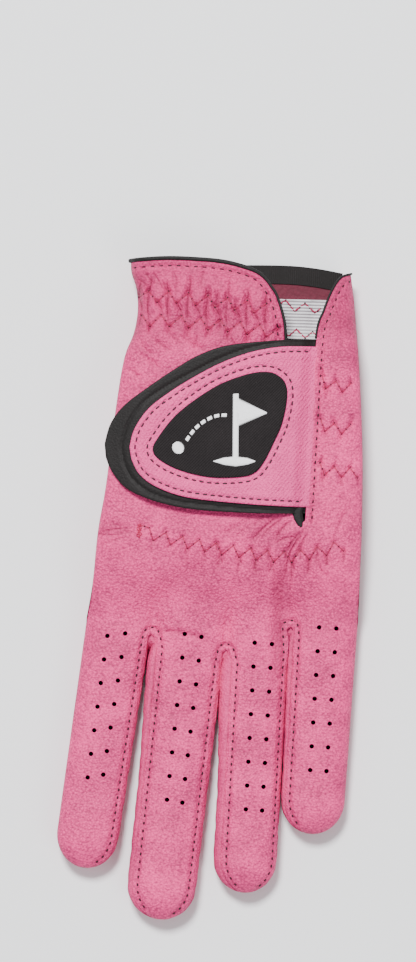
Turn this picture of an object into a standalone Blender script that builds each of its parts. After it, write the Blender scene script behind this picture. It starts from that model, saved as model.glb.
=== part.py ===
"""A golf glove for the left hand, lying palm down.

X runs across the hand, with the index finger at -X. Y runs along it, with the cuff at +Y and
the fingers at -Y. Z is up from the surface that the glove lies on, and the origin is under its
middle. Lengths are in millimetres until a mesh is made, where MM turns them into metres.
"""
import math

import bpy
from mathutils import Vector
from mathutils.geometry import delaunay_2d_cdt

MM = 0.001

# Leather and gaps
LEATHER = 0.8
GAP = 0.3
MESH_STEP = 4.5

# Heights
FINGER_MID = 5.0
FINGER_HALF = 5.0
BACK_TOP = 15.2
CUFF_TOP = 13.4
PALM_LIFT = 7.5
EDGE_ROUND = 8.0
SECTION_POWER = 2.6

# Where the back rises from the fingers, and where the palm is lifted by the thumb
KNUCKLE_LOW = -13.0
KNUCKLE_HIGH = 16.0
WRIST_LOW = 62.0
WRIST_HIGH = 84.0
PALM_RISE = (-12.0, -3.0)
PALM_FALL = (61.0, 69.0)

# Outline of the hand, from the cuff down to the knuckles
LEFT_EDGE = [
    (-20.4, 85.4), (-20.2, 82.5), (-18.9, 78.3), (-18.6, 72.5), (-19.7, 66.5),
    (-22.1, 60.0), (-24.4, 46.1), (-26.8, 27.2), (-28.9, 15.2), (-30.3, 1.6), (-31.9, -7.2),
]
RIGHT_EDGE = [
    (37.0, 82.0), (38.0, 73.0), (39.2, 55.0), (39.9, 36.0), (39.8, 18.0), (39.3, 4.0), (38.9, -8.4),
]
CUFF_TOP_LEFT = [(-11.5, 85.7), (-4.0, 85.5), (4.2, 84.7), (11.2, 82.8), (14.2, 80.9), (15.9, 78.7)]
SLIT_LEFT = [(17.2, 76.2), (18.8, 70.9), (19.4, 65.8), (20.4, 45.0), (21.0, 28.0), (21.6, 20.5), (23.4, 17.0)]
SLIT_RIGHT = [(24.9, 18.0), (25.4, 21.7), (26.4, 39.0), (28.2, 65.2), (30.1, 72.5), (32.4, 77.6)]
CUFF_TOP_RIGHT = [(34.6, 80.6)]
PALM_CUFF_Y = 84.4
PALM_CUFF_DROP = 1.5
PALM_CUFF_STEPS = 12

# Fingers: centre of the root line, lean (dx for each mm towards the tip), length, half width at
# the root and before the tip, and whether the left and right flanks are fourchettes
FINGERS = {
    "index": {"root": (-23.55, -9.75), "lean": -0.147, "length": 63.6, "half": (8.55, 8.1),
              "flanks": (False, True)},
    "middle": {"root": (-5.1, -13.7), "lean": -0.111, "length": 72.9, "half": (9.35, 8.9),
               "flanks": (True, True)},
    "ring": {"root": (12.7, -15.4), "lean": -0.056, "length": 63.9, "half": (8.15, 8.2),
             "flanks": (True, True)},
    "pinky": {"root": (30.2, -9.2), "lean": -0.066, "length": 54.8, "half": (8.6, 8.2),
              "flanks": (True, False)},
}
TIP_ROUND = 9.0
FLANK_ANGLE = math.radians(25.0)
FINGER_SEAM = 0.03
ROOT_POINTS = 6
CROTCHES = [(-14.7, -10.2), (4.4, -13.8), (21.2, -7.8)]

# Thumb, tucked under the palm
THUMB_ROOT = (-15.0, 47.0)
THUMB_ANGLE = math.radians(-58.0)
THUMB_LENGTH = 48.0
THUMB_HALF = 9.2
THUMB_MID = 3.55
THUMB_HALF_HEIGHT = 3.55
THUMB_TAPER = 0.6
THUMB_SEAM = 0.02
GUSSET_RADIUS = 10.2
GUSSET_START = math.radians(100.0)
GUSSET_SWEEP = math.radians(95.0)
GUSSET_LOW = 0.4
GUSSET_STEPS = 14

# Closure tab: outlines run from the root, over the upper edge to the free end and back below
TAB_UPPER = [(27.0, 65.2), (18.0, 64.8), (5.1, 63.5), (-2.7, 60.9), (-8.9, 57.3), (-15.7, 52.7),
             (-21.9, 48.0), (-25.5, 43.3), (-27.1, 38.0)]
TAB_LOWER = [(-26.8, 34.5), (-25.3, 30.9), (-21.9, 26.8), (-17.2, 24.2), (-10.5, 22.1),
             (-2.7, 20.8), (10.2, 20.0), (24.0, 19.8)]
FACE_UPPER = [(25.4, 63.2), (18.0, 63.0), (10.2, 61.5), (2.5, 58.6), (-4.8, 54.7), (-10.5, 51.1),
              (-15.7, 47.0), (-19.3, 41.8), (-20.6, 37.1)]
FACE_LOWER = [(-20.1, 34.0), (-18.3, 30.4), (-14.6, 27.3), (-8.9, 24.9), (-2.7, 23.6),
              (10.2, 22.3), (22.4, 21.6)]
BADGE = [(-14.6, 36.6), (-13.1, 39.7), (-9.5, 44.4), (-4.8, 48.5), (2.5, 53.2), (10.2, 56.0),
         (15.4, 56.5), (18.5, 55.2), (20.1, 52.7), (20.1, 48.5), (18.8, 42.8), (17.0, 38.7),
         (14.4, 33.5), (11.8, 30.4), (7.7, 29.3), (-0.1, 29.3), (-7.9, 31.2), (-13.1, 34.0)]
EMBLEM = [(2.6, 33.4), (6.0, 32.5), (9.4, 33.4), (6.6, 34.2), (6.9, 40.2), (13.2, 43.2),
          (7.0, 46.4), (7.0, 47.4), (5.6, 47.4), (5.4, 34.2)]
TAB_ROOT_LOW = (24.2, 20.0)
TAB_ROOT_HIGH = (27.2, 65.2)
TAB_DROOP = 2.6
TAB_DROOP_X = (-16.0, -29.0)
TAB_ROOT_SINK = 1.5
TAB_ROOT_REACH = 9.0
BASE_INSET = 0.8
BASE_INSET_FROM = 23.0
HOOK_BOX = (-13.5, 9.0, 32.0, 50.0)
LOOP_BOX = (-15.0, 11.5, 30.0, 52.0)
LAYER_GAP = 0.25
LINING_GAP = 0.5

# Layers of the closure above the back: name, thickness
LOOP_THICK = 0.6
HOOK_THICK = 0.6
BASE_THICK = 0.8
FACE_THICK = 0.7
BADGE_THICK = 0.5
EMBLEM_THICK = 0.4

# Tapes and elastics
TAPE_RADIUS = 0.5
TAPE_THICK = 0.5
PALM_TAPE_WIDTH = 4.4
ELASTIC_WIDTH = 5.0
PALM_ELASTIC_WIDTH = 10.4
CUFF_BINDING = [
    (-20.6, 86.2), (-11.5, 86.5), (-4.0, 86.3), (4.4, 85.5), (11.7, 83.6), (15.0, 81.5), (16.8, 78.8),
    (18.1, 76.2), (19.6, 70.9), (20.2, 65.8), (21.2, 45.0), (21.8, 28.0), (22.3, 20.8), (23.3, 19.0),
    (24.1, 19.4), (24.6, 21.8), (25.0, 28.0),
]
SLIT_PIPING = [(37.2, 82.8), (34.3, 81.4), (31.5, 77.8), (29.2, 72.5), (27.9, 68.5), (27.5, 66.6)]
PALM_TAPE = [(-11.0, 81.9), (0.0, 82.0), (18.0, 81.9), (29.0, 81.2)]
PALM_ELASTIC = [(-10.0, 71.0), (12.0, 71.0), (29.5, 71.0)]
BACK_ELASTICS = {
    "cuff_elastic_upper": [(-11.0, 76.2), (-4.0, 76.0), (4.0, 74.6), (14.0, 73.4)],
    "cuff_elastic_lower": [(-11.0, 69.8), (-4.0, 69.6), (4.0, 68.6), (16.0, 67.6)],
    "knuckle_elastic": [(-18.5, 15.2), (-6.0, 12.4), (8.0, 10.0), (21.0, 8.8), (31.5, 10.4)],
    "side_elastic_upper": [(28.6, 53.6), (33.0, 53.4)],
    "side_elastic_middle": [(28.0, 42.6), (33.0, 42.4)],
    "side_elastic_lower": [(27.4, 31.2), (33.0, 31.0)],
}

# Colours as display values, with a roughness
PINK = ((213, 128, 154), 0.62)
TAB_PINK = ((219, 142, 170), 0.66)
BLACK = ((54, 51, 51), 0.55)
WHITE = ((214, 212, 212), 0.7)
THREAD_WHITE = ((238, 236, 236), 0.5)


# ---------------------------------------------------------------- helpers

def ramp(value, start, end):
    """Rise smoothly from 0 at start to 1 at end."""
    t = min(max((value - start) / (end - start), 0.0), 1.0)
    return t * t * (3.0 - 2.0 * t)


def rounded(points, steps=3, closed=False):
    """Pass a smooth Catmull-Rom curve through points."""
    count = len(points)
    curve = []
    spans = count if closed else count - 1
    for i in range(spans):
        if closed:
            around = [Vector(points[(i + k) % count]) for k in (-1, 0, 1, 2)]
        else:
            around = [Vector(points[min(max(i + k, 0), count - 1)]) for k in (-1, 0, 1, 2)]
        before, start, end, after = around
        for step in range(steps):
            t = step / steps
            point = 0.5 * (2.0 * start + (end - before) * t
                           + (2.0 * before - 5.0 * start + 4.0 * end - after) * t ** 2
                           + (3.0 * start - before - 3.0 * end + after) * t ** 3)
            curve.append(point)
    if not closed:
        curve.append(Vector(points[-1]))
    return curve


def edge_x(edge, y):
    """X of a side edge at height y."""
    for (x1, y1), (x2, y2) in zip(edge, edge[1:]):
        if y >= y2:
            t = (y1 - y) / (y1 - y2)
            return x1 + (x2 - x1) * min(max(t, 0.0), 1.0)
    return edge[-1][0]


def material(name, finish):
    """Principled material from a display colour and a roughness."""
    made = bpy.data.materials.get(name)
    if made:
        return made
    colour, roughness = finish
    made = bpy.data.materials.new(name)
    made.use_nodes = True
    shader = made.node_tree.nodes["Principled BSDF"]
    linear = [(value / 255.0) ** 2.2 for value in colour]
    shader.inputs["Base Color"].default_value = (*linear, 1.0)
    shader.inputs["Roughness"].default_value = roughness
    shader.inputs["Metallic"].default_value = 0.0
    return made


def shell(name, outer, inner, faces, finish, pivot=None):
    """Make one closed solid between two matching surfaces, joined round their rim."""
    count = len(outer)
    directed = set()
    for face in faces:
        for a, b in zip(face, face[1:] + face[:1]):
            directed.add((a, b))
    rim = [(a, b) for a, b in directed if (b, a) not in directed]
    solid = list(faces)
    solid += [tuple(i + count for i in reversed(face)) for face in faces]
    solid += [(b, a, a + count, b + count) for a, b in sorted(rim)]
    centre = pivot.location if pivot else Vector((0.0, 0.0, 0.0))
    verts = [Vector(point) * MM - centre for point in outer + inner]
    mesh = bpy.data.meshes.new(name)
    mesh.from_pydata(verts, [], solid)
    mesh.shade_smooth()
    mesh.set_sharp_from_angle(angle=math.radians(40.0))
    mesh.materials.append(material(*finish))
    made = bpy.data.objects.new(name, mesh)
    bpy.context.scene.collection.objects.link(made)
    made.parent = pivot
    return made


def inside(point, outline):
    """Tell whether a point is inside a closed outline."""
    x, y = point
    hit = False
    for i, (x1, y1) in enumerate(outline):
        x2, y2 = outline[i - 1]
        if (y1 > y) != (y2 > y) and x < (x2 - x1) * (y - y1) / (y2 - y1) + x1:
            hit = not hit
    return hit


def clearance(point, outline):
    """Distance from a point to the nearest stretch of an outline."""
    best = 1e9
    for i, end in enumerate(outline):
        start = outline[i - 1]
        along = end - start
        length = along.length_squared
        t = min(max((point - start).dot(along) / length, 0.0), 1.0) if length > 0.0 else 0.0
        best = min(best, (point - start - along * t).length)
    return best


def sheet(name, outline, top, thickness, finish, pivot=None, step=MESH_STEP):
    """Make a sheet of even thickness: its plan is the outline, its upper face is top(x, y)."""
    border = [Vector(point) for point in outline]
    border = [p for i, p in enumerate(border) if (p - border[i - 1]).length > 0.05]
    low_x = min(p.x for p in border)
    low_y = min(p.y for p in border)
    columns = int((max(p.x for p in border) - low_x) / step) + 2
    rows = int((max(p.y for p in border) - low_y) / (step * 0.87)) + 2
    inner = []
    for row in range(rows):
        for column in range(columns):
            shift = 0.5 * (row % 2)
            point = Vector((low_x + (column + shift) * step, low_y + row * step * 0.87))
            if inside(point, border) and clearance(point, border) > 0.45 * step:
                inner.append(point)
    count = len(border)
    edges = [(i, (i + 1) % count) for i in range(count)]
    found = delaunay_2d_cdt(border + inner, edges, [], 1, 1e-5)
    flat = found[0]
    faces = []
    for face in found[2]:
        corners = [flat[i] for i in face]
        area = (corners[1] - corners[0]).cross(corners[2] - corners[0])
        faces.append(tuple(face) if area > 0.0 else tuple(reversed(face)))
    upper = [(p.x, p.y, top(p.x, p.y)) for p in flat]
    lower = [(x, y, z - thickness) for x, y, z in upper]
    return shell(name, upper, lower, faces, finish, pivot)


def tape(name, path, radius, finish):
    """Make a round tape or cord along a smooth path."""
    curve = bpy.data.curves.new(name, "CURVE")
    curve.dimensions = "3D"
    curve.bevel_depth = radius * MM
    curve.bevel_resolution = 1
    curve.use_fill_caps = True
    spline = curve.splines.new("POLY")
    spline.points.add(len(path) - 1)
    for spot, point in zip(spline.points, path):
        spot.co = (point[0] * MM, point[1] * MM, point[2] * MM, 1.0)
    curve.materials.append(material(*finish))
    made = bpy.data.objects.new(name, curve)
    bpy.context.scene.collection.objects.link(made)
    return made


def hinge(name, place):
    """Empty on a joint's axis, which carries the pieces that turn about it."""
    empty = bpy.data.objects.new(name, None)
    empty.location = Vector(place) * MM
    bpy.context.scene.collection.objects.link(empty)
    return empty


# ---------------------------------------------------------------- shape of the hand

def section(across):
    """Height factor of a rounded finger section, across from -1 to 1."""
    return (1.0 - min(abs(across), 1.0) ** SECTION_POWER) ** (1.0 / SECTION_POWER)


def crown(y):
    """Highest line of the back."""
    finger_top = FINGER_MID + FINGER_HALF
    rise = (BACK_TOP - finger_top) * ramp(y, KNUCKLE_LOW, KNUCKLE_HIGH)
    return finger_top + rise - (BACK_TOP - CUFF_TOP) * ramp(y, WRIST_LOW, WRIST_HIGH)


def palm_floor(y):
    """Lowest line of the palm, which is lifted where the thumb lies under it."""
    return PALM_LIFT * ramp(y, *PALM_RISE) * (1.0 - ramp(y, *PALM_FALL))


def side_height(y):
    """Height of the side seams between back and palm."""
    return 0.5 * (crown(y) + palm_floor(y))


def edge_factor(x, y):
    """0 at the side edges of the hand, 1 away from them."""
    inset = min(x - edge_x(LEFT_EDGE, y), edge_x(RIGHT_EDGE, y) - x)
    near = 1.0 - min(max(inset / EDGE_ROUND, 0.0), 1.0)
    return math.sqrt(1.0 - near * near)


def finger_hump(x, y):
    """Height factor of the row of fingers where they leave the hand."""
    best = 0.0
    for finger in FINGERS.values():
        centre = finger["root"][0] + finger["lean"] * (finger["root"][1] - y)
        best = max(best, section((x - centre) / finger["half"][0]))
    return best


def back_height(x, y):
    """Outer face of the back."""
    lip = side_height(y) + 0.5 * GAP + LEATHER
    smooth = lip + (crown(y) - lip) * edge_factor(x, y)
    humps = max(lip, FINGER_MID + FINGER_HALF * finger_hump(x, y))
    share = ramp(y, 4.0, KNUCKLE_LOW)
    return smooth + (humps - smooth) * share


def palm_height(x, y):
    """Inner face of the palm, one leather above the outer face."""
    lip = side_height(y) - 0.5 * GAP
    low = palm_floor(y) + LEATHER
    smooth = lip + (low - lip) * edge_factor(x, y)
    humps = min(lip, FINGER_MID - FINGER_HALF * finger_hump(x, y) + LEATHER)
    share = ramp(y, 0.0, KNUCKLE_LOW)
    return smooth + (humps - smooth) * share


def root_corner(finger, side, back_off=0.0):
    """Corner of a finger's root line: side is -1 for left, 1 for right."""
    across = Vector((1.0, finger["lean"])).normalized()
    along = Vector((finger["lean"], -1.0)).normalized()
    return Vector(finger["root"]) + across * side * finger["half"][0] - along * back_off


def knuckle_line():
    """Lower border of the hand from left to right, notched at the crotches."""
    border = []
    names = list(FINGERS)
    for place, name in enumerate(names):
        finger = FINGERS[name]
        left = root_corner(finger, -1, 0.5 * GAP)
        right = root_corner(finger, 1, 0.5 * GAP)
        border += [left.lerp(right, i / ROOT_POINTS) for i in range(ROOT_POINTS + 1)]
        if place < len(names) - 1:
            border.append(Vector(CROTCHES[place]))
    return border


# ---------------------------------------------------------------- hand pieces

def make_back_panel():
    """Leather back, cut by the slit from the cuff down."""
    left = rounded(LEFT_EDGE, 2)
    right = list(reversed(rounded(RIGHT_EDGE, 2)))
    slit = rounded(list(reversed(SLIT_RIGHT)), 2) + rounded(list(reversed(SLIT_LEFT)), 2)
    cuff_right = [Vector(p) for p in CUFF_TOP_RIGHT]
    cuff_left = [Vector(p) for p in reversed(CUFF_TOP_LEFT)]
    outline = left + knuckle_line() + right + cuff_right + slit + cuff_left
    sheet("back_panel", outline, back_height, LEATHER, ("pink_leather", PINK))


def make_palm_panel():
    """Leather palm, from the knuckle line to the straight palm side of the cuff."""
    left = [p for p in rounded(LEFT_EDGE, 2) if p.y < PALM_CUFF_Y - 1.0]
    right = [p for p in reversed(rounded(RIGHT_EDGE, 2)) if p.y < PALM_CUFF_Y - 3.0]
    first = Vector((left[0].x, PALM_CUFF_Y))
    last = Vector((right[-1].x, PALM_CUFF_Y - PALM_CUFF_DROP))
    cuff = [last.lerp(first, i / PALM_CUFF_STEPS) for i in range(PALM_CUFF_STEPS + 1)]
    outline = left + knuckle_line() + right + cuff
    sheet("palm_panel", outline, palm_height, LEATHER, ("pink_leather", PINK))


def make_strip(name, path, width, height, thickness, finish):
    """Flat strip of a given width along a path, with its upper face at height(x, y)."""
    curve = rounded(path, 4)
    left = []
    right = []
    for i, point in enumerate(curve):
        ahead = curve[min(i + 1, len(curve) - 1)] - curve[max(i - 1, 0)]
        side = Vector((-ahead.y, ahead.x)).normalized() * 0.5 * width
        left.append(point + side)
        right.append(point - side)
    outline = right + list(reversed(left))
    sheet(name, outline, height, thickness, finish)


def under_back(x, y):
    """Upper face of a strip sewn behind the back."""
    return back_height(x, y) - LEATHER - LINING_GAP


def over_palm(x, y):
    """Upper face of a tape sewn inside the palm."""
    return palm_height(x, y) + LINING_GAP + TAPE_THICK


def make_elastics():
    """Elastics behind the gathers, and the ribbed one inside the palm."""
    finish = ("white_elastic", WHITE)
    for name, path in BACK_ELASTICS.items():
        make_strip(name, path, ELASTIC_WIDTH, under_back, TAPE_THICK, finish)
    make_strip("palm_elastic", PALM_ELASTIC, PALM_ELASTIC_WIDTH, over_palm, TAPE_THICK, finish)


def make_tapes():
    """Black tapes on the cuff and the slit."""
    finish = ("black_tape", BLACK)

    def lay(points):
        curve = rounded(points, 3)
        return [(p.x, p.y, back_height(p.x, p.y) - 0.5 * LEATHER) for p in curve]

    tape("cuff_binding", lay(CUFF_BINDING), TAPE_RADIUS, finish)
    tape("slit_piping", lay(SLIT_PIPING), TAPE_RADIUS, finish)
    make_strip("palm_cuff_tape", PALM_TAPE, PALM_TAPE_WIDTH, over_palm, TAPE_THICK, finish)


# ---------------------------------------------------------------- fingers

def tube_point(part, angle, along, inset):
    """Point of a finger tube: angle round its section, distance along it, inset from outside."""
    length = part["length"] - inset
    tip = TIP_ROUND - inset
    along = along * length / part["length"]
    end = max(along - (length - tip), 0.0) / tip
    close = math.sqrt(max(1.0 - end * end, 0.0))
    root_half, tip_half = part["half"]
    half = (root_half + (tip_half - root_half) * along / length - inset) * close
    height = (part["height"] - inset) * (0.14 + 0.86 * close)
    power = 2.0 / SECTION_POWER
    cosine = math.cos(angle)
    sine = math.sin(angle)
    side = math.copysign(abs(cosine) ** power, cosine) * half
    up = math.copysign(abs(sine) ** power, sine) * height
    heading = Vector(part["heading"])
    across = Vector((-heading.y, heading.x))
    flat = Vector(part["root"]) + heading * (along + 0.5 * GAP) + across * side
    return (flat.x, flat.y, part["mid"] + up)


def tube_piece(name, part, first, last, finish, pivot):
    """Part of a finger tube between two angles round its section."""
    columns = max(2, int((last - first) / math.radians(20.0)))
    straight = part["length"] - TIP_ROUND
    runs = [straight * i / 5 for i in range(6)]
    runs += [straight + TIP_ROUND * share for share in (0.3, 0.55, 0.75, 0.9, 0.975, 0.998)]
    outer = []
    inner = []
    for along in runs:
        for column in range(columns + 1):
            angle = first + (last - first) * column / columns
            outer.append(tube_point(part, angle, along, 0.0))
            inner.append(tube_point(part, angle, along, LEATHER))
    faces = []
    width = columns + 1
    for row in range(len(runs) - 1):
        for column in range(columns):
            a = row * width + column
            faces.append((a, a + 1, a + 1 + width, a + width))
    shell(name, outer, inner, faces, finish, pivot)


def make_finger(name, finger):
    """Back, front and fourchette flanks of one finger, on the hinge at its knuckle."""
    heading = Vector((finger["lean"], -1.0)).normalized()
    part = dict(finger, heading=heading, mid=FINGER_MID, height=FINGER_HALF)
    root_x, root_y = finger["root"]
    pivot = hinge(name + "_knuckle", (root_x, root_y, FINGER_MID + FINGER_HALF))
    left, right = finger["flanks"]
    right_angle = (FLANK_ANGLE if right else 0.0) + FINGER_SEAM
    left_angle = (FLANK_ANGLE if left else 0.0) + FINGER_SEAM
    flank = FLANK_ANGLE - FINGER_SEAM
    pink = ("pink_leather", PINK)
    tube_piece(name + "_back", part, right_angle, math.pi - left_angle, pink, pivot)
    tube_piece(name + "_front", part, math.pi + left_angle, 2.0 * math.pi - right_angle, pink, pivot)
    if right:
        tube_piece(name + "_fourchette_inner", part, -flank, flank, pink, pivot)
    if left:
        tube_piece(name + "_fourchette_outer", part, math.pi - flank, math.pi + flank, pink, pivot)


def make_thumb():
    """Thumb tube in two halves, and the gusset round its root."""
    heading = Vector((math.cos(THUMB_ANGLE), math.sin(THUMB_ANGLE)))
    part = {"root": THUMB_ROOT, "heading": heading, "length": THUMB_LENGTH,
            "half": (THUMB_HALF, THUMB_HALF - THUMB_TAPER), "mid": THUMB_MID,
            "height": THUMB_HALF_HEIGHT}
    pivot = hinge("thumb_base", (*THUMB_ROOT, THUMB_MID))
    pink = ("pink_leather", PINK)
    tube_piece("thumb_back", part, THUMB_SEAM, math.pi - THUMB_SEAM, pink, pivot)
    tube_piece("thumb_front", part, math.pi + THUMB_SEAM, 2.0 * math.pi - THUMB_SEAM, pink, pivot)
    outer = []
    inner = []
    for level in (PALM_LIFT - GAP, GUSSET_LOW):
        for step in range(GUSSET_STEPS + 1):
            angle = THUMB_ANGLE + GUSSET_START + GUSSET_SWEEP * step / GUSSET_STEPS
            spoke = Vector((math.cos(angle), math.sin(angle)))
            out = Vector(THUMB_ROOT) + spoke * (GUSSET_RADIUS + LEATHER)
            near = Vector(THUMB_ROOT) + spoke * GUSSET_RADIUS
            outer.append((out.x, out.y, level))
            inner.append((near.x, near.y, level))
    width = GUSSET_STEPS + 1
    faces = [(i, i + width, i + width + 1, i + 1) for i in range(GUSSET_STEPS)]
    shell("thumb_gusset", outer, inner, faces, pink)


# ---------------------------------------------------------------- closure

def tab_level(x, y):
    """Lower face of the tab's base: flat over the closure, low at its free end and root."""
    level = BACK_TOP + 3.0 * LAYER_GAP + LOOP_THICK + HOOK_THICK
    root_low = Vector(TAB_ROOT_LOW)
    along = (Vector(TAB_ROOT_HIGH) - root_low).normalized()
    from_root = abs((Vector((x, y)) - root_low).cross(along))
    sink = TAB_ROOT_SINK * ramp(from_root, TAB_ROOT_REACH, 1.0)
    return level - sink - TAB_DROOP * ramp(x, *TAB_DROOP_X)


def box_outline(box, round_by=2.0):
    """Rounded rectangle from its sides (left, right, low, high)."""
    left, right, low, high = box
    outline = []
    corners = [(right, high, 0), (left, high, 90), (left, low, 180), (right, low, 270)]
    for x, y, turn in corners:
        centre_x = x - math.copysign(round_by, x - 0.5 * (left + right))
        centre_y = y - math.copysign(round_by, y - 0.5 * (low + high))
        for step in range(4):
            angle = math.radians(turn + 30.0 * step)
            outline.append((centre_x + round_by * math.cos(angle),
                            centre_y + round_by * math.sin(angle)))
    return outline


def make_closure():
    """Loop patch on the back, and the layered tab on its hinge."""
    middle = (Vector(TAB_ROOT_LOW) + Vector(TAB_ROOT_HIGH)) * 0.5
    axis_height = BACK_TOP + 3.0 * LAYER_GAP + LOOP_THICK + HOOK_THICK - TAB_ROOT_SINK
    axis_height += 0.5 * BASE_THICK
    pivot = hinge("tab_root", (middle.x, middle.y, axis_height))
    black = ("black_tape", BLACK)

    def loop_top(x, y):
        return back_height(x, y) + LAYER_GAP + LOOP_THICK

    def hook_top(x, y):
        return tab_level(x, y) - LAYER_GAP

    base_top = BASE_THICK
    face_top = base_top + LAYER_GAP + FACE_THICK
    badge_top = face_top + LAYER_GAP + BADGE_THICK
    emblem_top = badge_top + LAYER_GAP + EMBLEM_THICK

    def raised(offset):
        return lambda x, y: tab_level(x, y) + offset

    sheet("loop_patch", box_outline(LOOP_BOX), loop_top, LOOP_THICK, black)
    sheet("hook_patch", box_outline(HOOK_BOX), hook_top, HOOK_THICK, black, pivot)
    base = rounded(TAB_UPPER, 2) + rounded(TAB_LOWER, 2)
    base = [p - Vector((BASE_INSET, 0.0)) if p.x > BASE_INSET_FROM else p for p in base]
    sheet("tab_base", base, raised(base_top), BASE_THICK, black, pivot)
    face = rounded(FACE_UPPER, 2) + rounded(FACE_LOWER, 2)
    sheet("tab_face", face, raised(face_top), FACE_THICK, ("tab_leather", TAB_PINK), pivot)
    sheet("tab_badge", rounded(BADGE, 1, True), raised(badge_top), BADGE_THICK, black, pivot)
    sheet("tab_emblem", EMBLEM, raised(emblem_top), EMBLEM_THICK,
          ("emblem_thread", THREAD_WHITE), pivot, 3.0)


def main():
    """Clear the scene and make the glove."""
    for old in list(bpy.data.objects):
        bpy.data.objects.remove(old, do_unlink=True)
    make_back_panel()
    make_palm_panel()
    make_elastics()
    make_tapes()
    for name, finger in FINGERS.items():
        make_finger(name, finger)
    make_thumb()
    make_closure()


main()
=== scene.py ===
"""Golf glove: the visual model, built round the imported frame.

Lengths are in millimetres, in the frame's own axes, until a mesh is made; MM turns them into
metres. The leather is a height over the plan of the glove, so the base shape repeats the frame's
own formulas and every seam, gather and crease is added to that height.
"""
import math

import bpy
import numpy as np
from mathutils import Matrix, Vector
from mathutils.geometry import delaunay_2d_cdt


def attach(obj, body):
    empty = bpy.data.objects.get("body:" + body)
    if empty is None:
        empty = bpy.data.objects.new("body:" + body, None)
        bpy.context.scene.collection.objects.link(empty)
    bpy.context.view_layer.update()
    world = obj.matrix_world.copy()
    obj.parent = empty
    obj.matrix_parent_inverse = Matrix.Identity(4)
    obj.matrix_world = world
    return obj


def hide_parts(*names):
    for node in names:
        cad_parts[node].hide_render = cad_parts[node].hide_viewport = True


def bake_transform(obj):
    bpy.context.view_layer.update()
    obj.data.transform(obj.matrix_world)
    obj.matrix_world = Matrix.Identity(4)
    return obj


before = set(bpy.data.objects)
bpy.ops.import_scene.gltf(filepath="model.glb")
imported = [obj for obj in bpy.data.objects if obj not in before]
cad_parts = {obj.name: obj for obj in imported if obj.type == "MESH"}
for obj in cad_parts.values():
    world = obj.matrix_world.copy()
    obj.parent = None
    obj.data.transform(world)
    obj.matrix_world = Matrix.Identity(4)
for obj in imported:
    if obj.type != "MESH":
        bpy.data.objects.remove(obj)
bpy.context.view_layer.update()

MM = 0.001

# ---------------------------------------------------------------- the frame's own dimensions

LEATHER = 0.8
FINGER_MID = 5.0
FINGER_HALF = 5.0
BACK_TOP = 15.2
CUFF_TOP = 13.4
PALM_LIFT = 7.5
EDGE_ROUND = 8.0
SECTION_POWER = 2.6
SEAM_GAP = 0.05
KNUCKLE_LOW = -13.0
KNUCKLE_HIGH = 16.0
WRIST_LOW = 62.0
WRIST_HIGH = 84.0
PALM_RISE = (-12.0, -3.0)
PALM_FALL = (61.0, 69.0)
TIP_ROUND = 9.0
CROTCH_RISE = 3.0
BRIDGE_SIDES = (-30.5, 37.4)
BRIDGE_RISE = (-25.0, -15.0)
LIP_REACH = 0.95

LEFT_EDGE = [
    (-20.4, 85.4), (-20.2, 82.5), (-18.9, 78.3), (-18.6, 72.5), (-19.7, 66.5),
    (-22.1, 60.0), (-24.4, 46.1), (-26.8, 27.2), (-28.9, 15.2), (-30.3, 1.6), (-31.9, -7.2),
]
RIGHT_EDGE = [
    (37.0, 82.0), (38.0, 73.0), (39.2, 55.0), (39.9, 36.0), (39.8, 18.0), (39.3, 4.0), (38.9, -8.4),
]
CUFF_TOP_LEFT = [(-20.4, 85.4), (-11.5, 85.9), (-4.0, 85.7), (4.2, 84.9), (11.2, 82.9),
                 (14.2, 80.9), (15.9, 78.7)]
SLIT_LEFT = [(15.9, 78.7), (17.4, 76.2), (19.0, 70.9), (19.6, 65.8), (20.6, 45.0), (21.2, 28.0),
             (21.6, 20.5), (23.4, 17.0)]
SLIT_RIGHT = [(24.9, 18.0), (25.2, 21.7), (26.2, 39.0), (27.9, 65.2), (30.0, 72.5), (32.2, 77.9)]
CUFF_TOP_RIGHT = [(32.2, 77.9), (34.4, 81.0), (37.0, 82.0)]

FINGERS = {
    "index": {"root": (-23.55, -9.75), "lean": -0.147, "length": 63.6, "half": (8.55, 8.1),
              "raw": (None, 0.93), "stitch": (None, 0.76)},
    "middle": {"root": (-5.1, -13.7), "lean": -0.111, "length": 72.9, "half": (9.35, 8.9),
               "raw": (-0.88, 0.95), "stitch": (-0.735, 0.78)},
    "ring": {"root": (12.7, -15.4), "lean": -0.056, "length": 63.9, "half": (8.15, 8.2),
             "raw": (-0.80, 0.97), "stitch": (-0.63, 0.83)},
    "pinky": {"root": (30.2, -9.2), "lean": -0.066, "length": 54.8, "half": (8.6, 8.2),
              "raw": (-0.92, None), "stitch": (-0.76, None)},
}
NAMES = list(FINGERS)
NEXT = dict(zip(NAMES, NAMES[1:]))
CROTCH = {"index": (-15.0, -11.7), "middle": (4.4, -16.0), "ring": (21.2, -9.9)}

THUMB_ROOT = (-15.0, 47.0)
THUMB_ANGLE = math.radians(-58.0)

SIGN = (-1, 1)
UP = (0.0, 0.0, 1.0)
FAR_OFF = 1e9

# ---------------------------------------------------------------- small tools

def ramp(value, start, end):
    """Rise smoothly from 0 at start to 1 at end."""
    t = np.clip((np.asarray(value, float) - start) / (end - start), 0.0, 1.0)
    return t * t * (3.0 - 2.0 * t)


def bell(value, width):
    """1 at 0, falling to nothing over about twice the width."""
    return np.exp(-(np.asarray(value, float) / width) ** 2)


def quarter_round(inset, radius):
    """0 at an edge, rising along a quarter of a circle to 1 at a radius in from it."""
    near = 1.0 - np.clip(inset / radius, 0.0, 1.0)
    return np.sqrt(np.clip(1.0 - near * near, 0.0, 1.0))


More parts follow.
